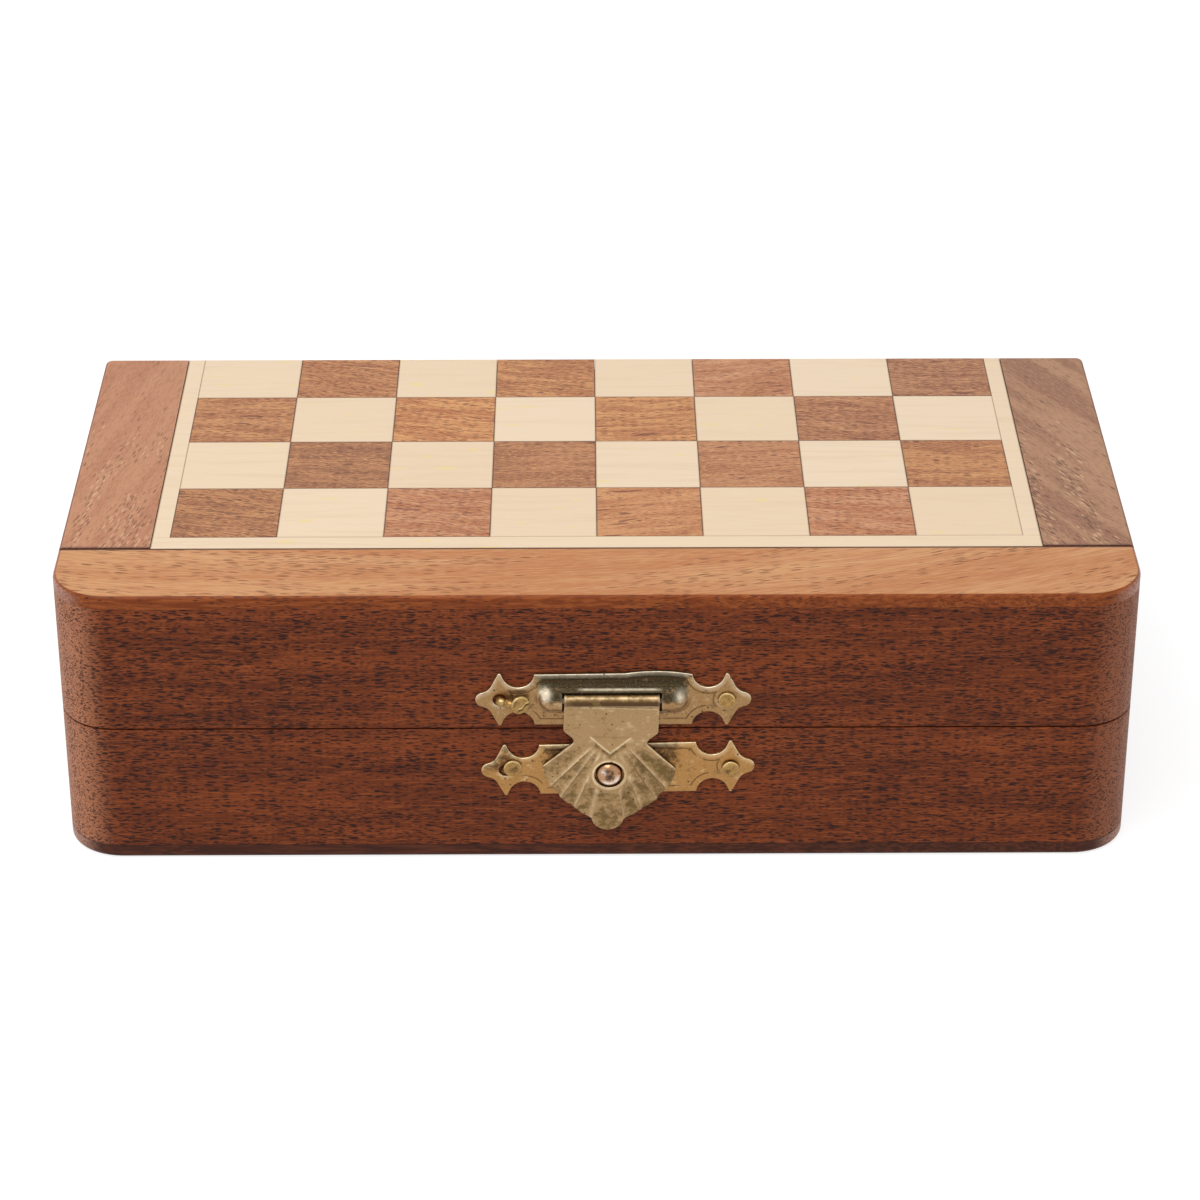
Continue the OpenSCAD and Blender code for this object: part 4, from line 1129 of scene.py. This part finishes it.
def nail_head(middle, out, lean=(0, 0), radius=NAIL_HEAD, gash=False):
    """A hammered nail head with a rounded edge and a flat or dished face, tilted a little by lean."""
    thick = NAIL_HEAD_THICK
    bend = HEAD_ROUNDING
    rim = [(radius - bend + bend * math.cos(t), out + thick - bend + bend * math.sin(t))
           for t in np.linspace(0, math.pi / 2, 5)]
    shares = np.linspace(0.82, 0.08, 12)
    crown = [(radius * share, out + thick + HEAD_CROWN * (1 - share)) for share in shares]
    foot = [(0, out), (radius - 0.08, out), (radius, out + 0.1)]
    profile = [*foot, *rim, *crown, (0, out + thick + HEAD_CROWN)]
    points, faces, paint = lathe(profile, middle, 56)
    x, y = points[:, 0] - middle[0], points[:, 1] - middle[1]
    face = points[:, 2] > out + thick - 0.1
    # Painted highlight: the edge of the head is bright, most on its upper side
    edge = smooth(np.hypot(x, y), radius - 0.3, radius - 0.05) * np.clip(0.3 + y / radius, 0, 1)
    paint[:, 0] = 0.7 * edge
    if gash:
        aside = 0.817 * y - 0.577 * x + 0.75 + 0.12 * np.sin(5 * x)
        reached = smooth(x, -0.75, -0.1)
        cut = bell(aside, 0.13) * face * reached
        points[:, 2] -= 0.18 * cut
        paint[:, 1] = np.maximum(1.6 * cut, 0.5 * spot(x, y, (-0.9, 0.5), 0.7))
        paint[:, 0] = np.maximum(paint[:, 0], 0.8 * bell(aside - 0.3, 0.12) * face * reached)
    else:
        dish = spot(x, y, (0.3, 0.2), 0.7) * face
        bruise = spot(x, y, (-0.5, -0.4), 0.4) * face
        points[:, 2] -= 0.06 * dish + 0.05 * bruise
        paint[:, 1] = 0.4 * dish + 0.5 * bruise + 0.1
    points[:, 2] += x * lean[0] + y * lean[1]
    return points, faces, paint


def nail(shift, lean, radius=NAIL_HEAD):
    """Nail driven home, its head shifted on the shank where it went in askew."""
    out = SHEET + NAIL_HEAD_LIFT
    shank = lathe([(0, 0.02), (NAIL_SHANK, 0.02), (NAIL_SHANK, out + 0.1), (0, out + 0.1)], (0, 0), 24, 0.9)
    return joined([nail_head(shift, out, lean, radius), shank])


def lower_hole(side):
    turn = math.radians(LOWER_TURN)
    return LOWER_X + side * NAIL_X * math.cos(turn), LOWER_Z + side * NAIL_X * math.sin(turn)


# The bent nail's neck: distances from its bend, and its thickness there as a share of the shank's
NECK = (
    (0.3, 1.32), (0.75, 1.2), (0.95, 0.95), (1.12, 1.22), (1.7, 1.2), (2.3, 1.12), (BEND_LENGTH - 0.25, 1.0))


def bent_nail():
    """Nail that bent over: a stub out of the hole, a creased bend, and a neck that flares to its head."""
    bend, slope, tilt = (math.radians(angle) for angle in (BEND_ANGLE, BEND_SLOPE, BENT_HEAD_TILT))
    level = np.array([math.cos(slope), -math.sin(slope), 0])
    out = np.array([0, 0, 1])
    way = math.sin(bend) * level + math.cos(bend) * out
    knee = BEND_OUT * out
    stations = (
        (0.02 * out, 1.0), (knee - 0.4 * out, 1.1), (knee - 0.12 * out + 0.06 * way, 1.3),
        *((knee + length * way, share) for length, share in NECK)
    )
    tube = swept([place for place, share in stations], [NAIL_SHANK * share for place, share in stations])
    face_way = math.cos(tilt) * level - math.sin(tilt) * out
    normal = math.sin(tilt) * level + math.cos(tilt) * out
    up = np.cross(normal, face_way)
    points, faces, paint = nail_head((0, 0), 0, radius=BENT_HEAD, gash=True)
    middle = knee + (BEND_LENGTH - 0.3) * way + NAIL_HEAD / 2 * face_way
    points = middle + points[:, :1] * face_way + points[:, 1:2] * up + points[:, 2:] * normal
    return joined([tube, (points, faces, paint)])


def swept(path, radii, turns=20):
    """A round rod along a few points, with its own radius at each."""
    points = []
    path = [np.array(p, float) for p in path]
    for k, (place, radius) in enumerate(zip(path, radii)):
        ahead = path[min(k + 1, len(path) - 1)] - path[max(k - 1, 0)]
        ahead /= np.linalg.norm(ahead)
        side = np.cross(ahead, (0, 1, 0))
        side /= np.linalg.norm(side)
        up = np.cross(side, ahead)
        for i in range(turns):
            angle = 2 * math.pi * i / turns
            points.append(place + radius * (math.cos(angle) * side + math.sin(angle) * up))
    faces = bands(len(path), turns)
    faces.append(tuple(range(turns)))
    faces.append(tuple(reversed(range((len(path) - 1) * turns, len(path) * turns))))
    points = np.array(points)
    # Painted highlight near the bend
    shine = spot(points[:, 0], points[:, 2], (0.35, BEND_OUT + 0.5), 0.35)
    crease = bell(points[:, 0] - 0.9, 0.12)
    return points, faces, np.column_stack([0.8 * shine, crease, np.zeros(len(points))])


def felt_sheet(half):
    """Felt glued into a tray, a little uneven, with soft edges."""
    low, high = (np.array(corner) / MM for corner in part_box(f"{half}_felt_lining"))
    xs, ys = (np.linspace(low[k], high[k], FELT_POINTS[k]) for k in (0, 1))
    grid = np.stack(np.meshgrid(xs, ys, indexing="ij"), axis=-1).reshape(-1, 2)
    x, y = grid[:, 0], grid[:, 1]
    rim = np.minimum(np.minimum(x - low[0], high[0] - x), np.minimum(y - low[1], high[1] - y))
    wave = 0.06 * np.sin(x * 0.21 + 1.3 * np.sin(y * 0.17)) * np.sin(y * 0.19)
    drop = 0.12 + wave * 0.8 + 0.3 * smooth(rim, 1.2, 0.0)
    count = len(grid)
    if half == "base":
        upper, under = high[2] - drop, np.full(count, low[2])
    else:
        upper, under = np.full(count, high[2]), low[2] + drop
    points = np.concatenate([np.column_stack([grid, upper]), np.column_stack([grid, under])])
    index = np.arange(count).reshape(FELT_POINTS)
    corners = (index[:-1, :-1], index[1:, :-1], index[1:, 1:], index[:-1, 1:])
    tops = np.stack(corners, axis=-1).reshape(-1, 4)
    border = [*index[:, 0], *index[-1, 1:], *index[-2::-1, -1], *index[0, -2:0:-1]]
    walls = [(a, a + count, b + count, b) for a, b in zip(border, border[1:] + border[:1])]
    faces = [*tops, *(tops[:, ::-1] + count), *walls]
    plain = np.zeros((len(points), 3))
    name = f"{half}_felt"
    made = piece(name, (points, faces, plain), FELT, half, "green_felt", f"{half}_felt_lining")


piece("upper_plate", upper_plate(), ANTIQUE, "lid", "antique_brass", "upper_latch_plate")
piece("lower_plate", lower_plate(), YELLOWED, "base", "antique_brass", "lower_latch_plate")
piece("shell_hasp", hasp(), RUBBED, "hasp", "antique_brass", "hasp", sharp=50)
piece("catch_stud", stud(), PLATED, "base", "plated_stud", "latch_stud")
piece("right_upper_nail", on_front(nail((0, 0), (0.03, -0.02), UPPER_RIGHT_HEAD), UPPER_X + NAIL_X, UPPER_Z),
      NAIL_BRASS, "lid", "nail_brass", "upper_plate_nail")
piece("crooked_nail", on_front(bent_nail(), UPPER_X - NAIL_X, UPPER_Z),
      NAIL_BRASS, "lid", "nail_brass", "bent_nail")
lower_nails = [
    on_front(nail((1.2, 0.6), (-0.12, 0.06)), *lower_hole(-1)),
    on_front(nail((0, -0.3), (-0.03, 0.08), LOWER_RIGHT_HEAD), *lower_hole(1))
]
piece("lower_nails", joined(lower_nails), NAIL_BRASS, "base", "nail_brass", "lower_plate_nails")
for half in ("base", "lid"):
    felt_sheet(half)


def shown_to_camera(tree, output, plain, shown):
    """Ends a tree in a shader that camera, glossy and transmission rays see as shown, light as plain."""
    rays = add(tree, "ShaderNodeLightPath").outputs
    seen = rays["Is Camera Ray"]
    for kind in ("Is Glossy Ray", "Is Transmission Ray"):
        seen = add(tree, "ShaderNodeMath", {0: seen, 1: rays[kind]}, operation="MAXIMUM").outputs[0]
    mixed = add(tree, "ShaderNodeMixShader", {0: seen, 1: plain, 2: shown}).outputs[0]
    add(tree, output, {"Surface": mixed})


def make_world():
    world = bpy.data.worlds.new("studio")
    world.use_nodes = True
    tree = world.node_tree
    tree.nodes.clear()
    plain, shown = (
        add(tree, "ShaderNodeBackground", {"Color": (1, 1, 1, 1), "Strength": strength}).outputs[0]
        for strength in (SKY_LEVEL, 1.0))
    shown_to_camera(tree, "ShaderNodeOutputWorld", plain, shown)
    bpy.context.scene.world = world


def make_floor():
    """Wide pale floor that shows white but keeps a soft shadow of the box."""
    material = bpy.data.materials.new("floor")
    material.use_nodes = True
    tree = material.node_tree
    tree.nodes.clear()
    plain = add(tree, "ShaderNodeBsdfDiffuse", {"Color": FLOOR_GREY}).outputs[0]
    glow = add(tree, "ShaderNodeEmission", {"Strength": FLOOR_GLOW}).outputs[0]
    soft = add(tree, "ShaderNodeBsdfDiffuse", {"Color": FLOOR_SHADE}).outputs[0]
    shown = add(tree, "ShaderNodeAddShader", {0: glow, 1: soft}).outputs[0]
    shown_to_camera(tree, "ShaderNodeOutputMaterial", plain, shown)
    mesh = bpy.data.meshes.new("floor")
    corners = [(x * FLOOR_REACH, y * FLOOR_REACH, 0) for x, y in ((-1, -1), (1, -1), (1, 1), (-1, 1))]
    mesh.from_pydata(corners, [], [(0, 1, 2, 3)])
    mesh.materials.append(material)
    floor = placed("floor", mesh)
    floor.location.z = -FLOOR_DROP


def make_lamp():
    lamp = bpy.data.lights.new("key", "AREA")
    lamp.shape = "RECTANGLE"
    lamp.size, lamp.size_y = KEY_SIZE
    lamp.energy = KEY_POWER
    made = placed("key", lamp)
    made.location = KEY_PLACE
    made.rotation_euler = (Vector(KEY_TARGET) - Vector(KEY_PLACE)).to_track_quat("-Z", "Y").to_euler()


def make_camera():
    camera = bpy.data.cameras.new("camera")
    camera.lens = CAMERA_LENS
    camera.sensor_width = CAMERA_SENSOR
    made = placed("camera", camera)
    made.location = CAMERA_PLACE
    made.rotation_euler = tuple(math.radians(angle) for angle in CAMERA_TURN)
    bpy.context.scene.camera = made


make_world()
make_floor()
make_lamp()
make_camera()
bpy.context.scene.view_settings.view_transform = "Standard"
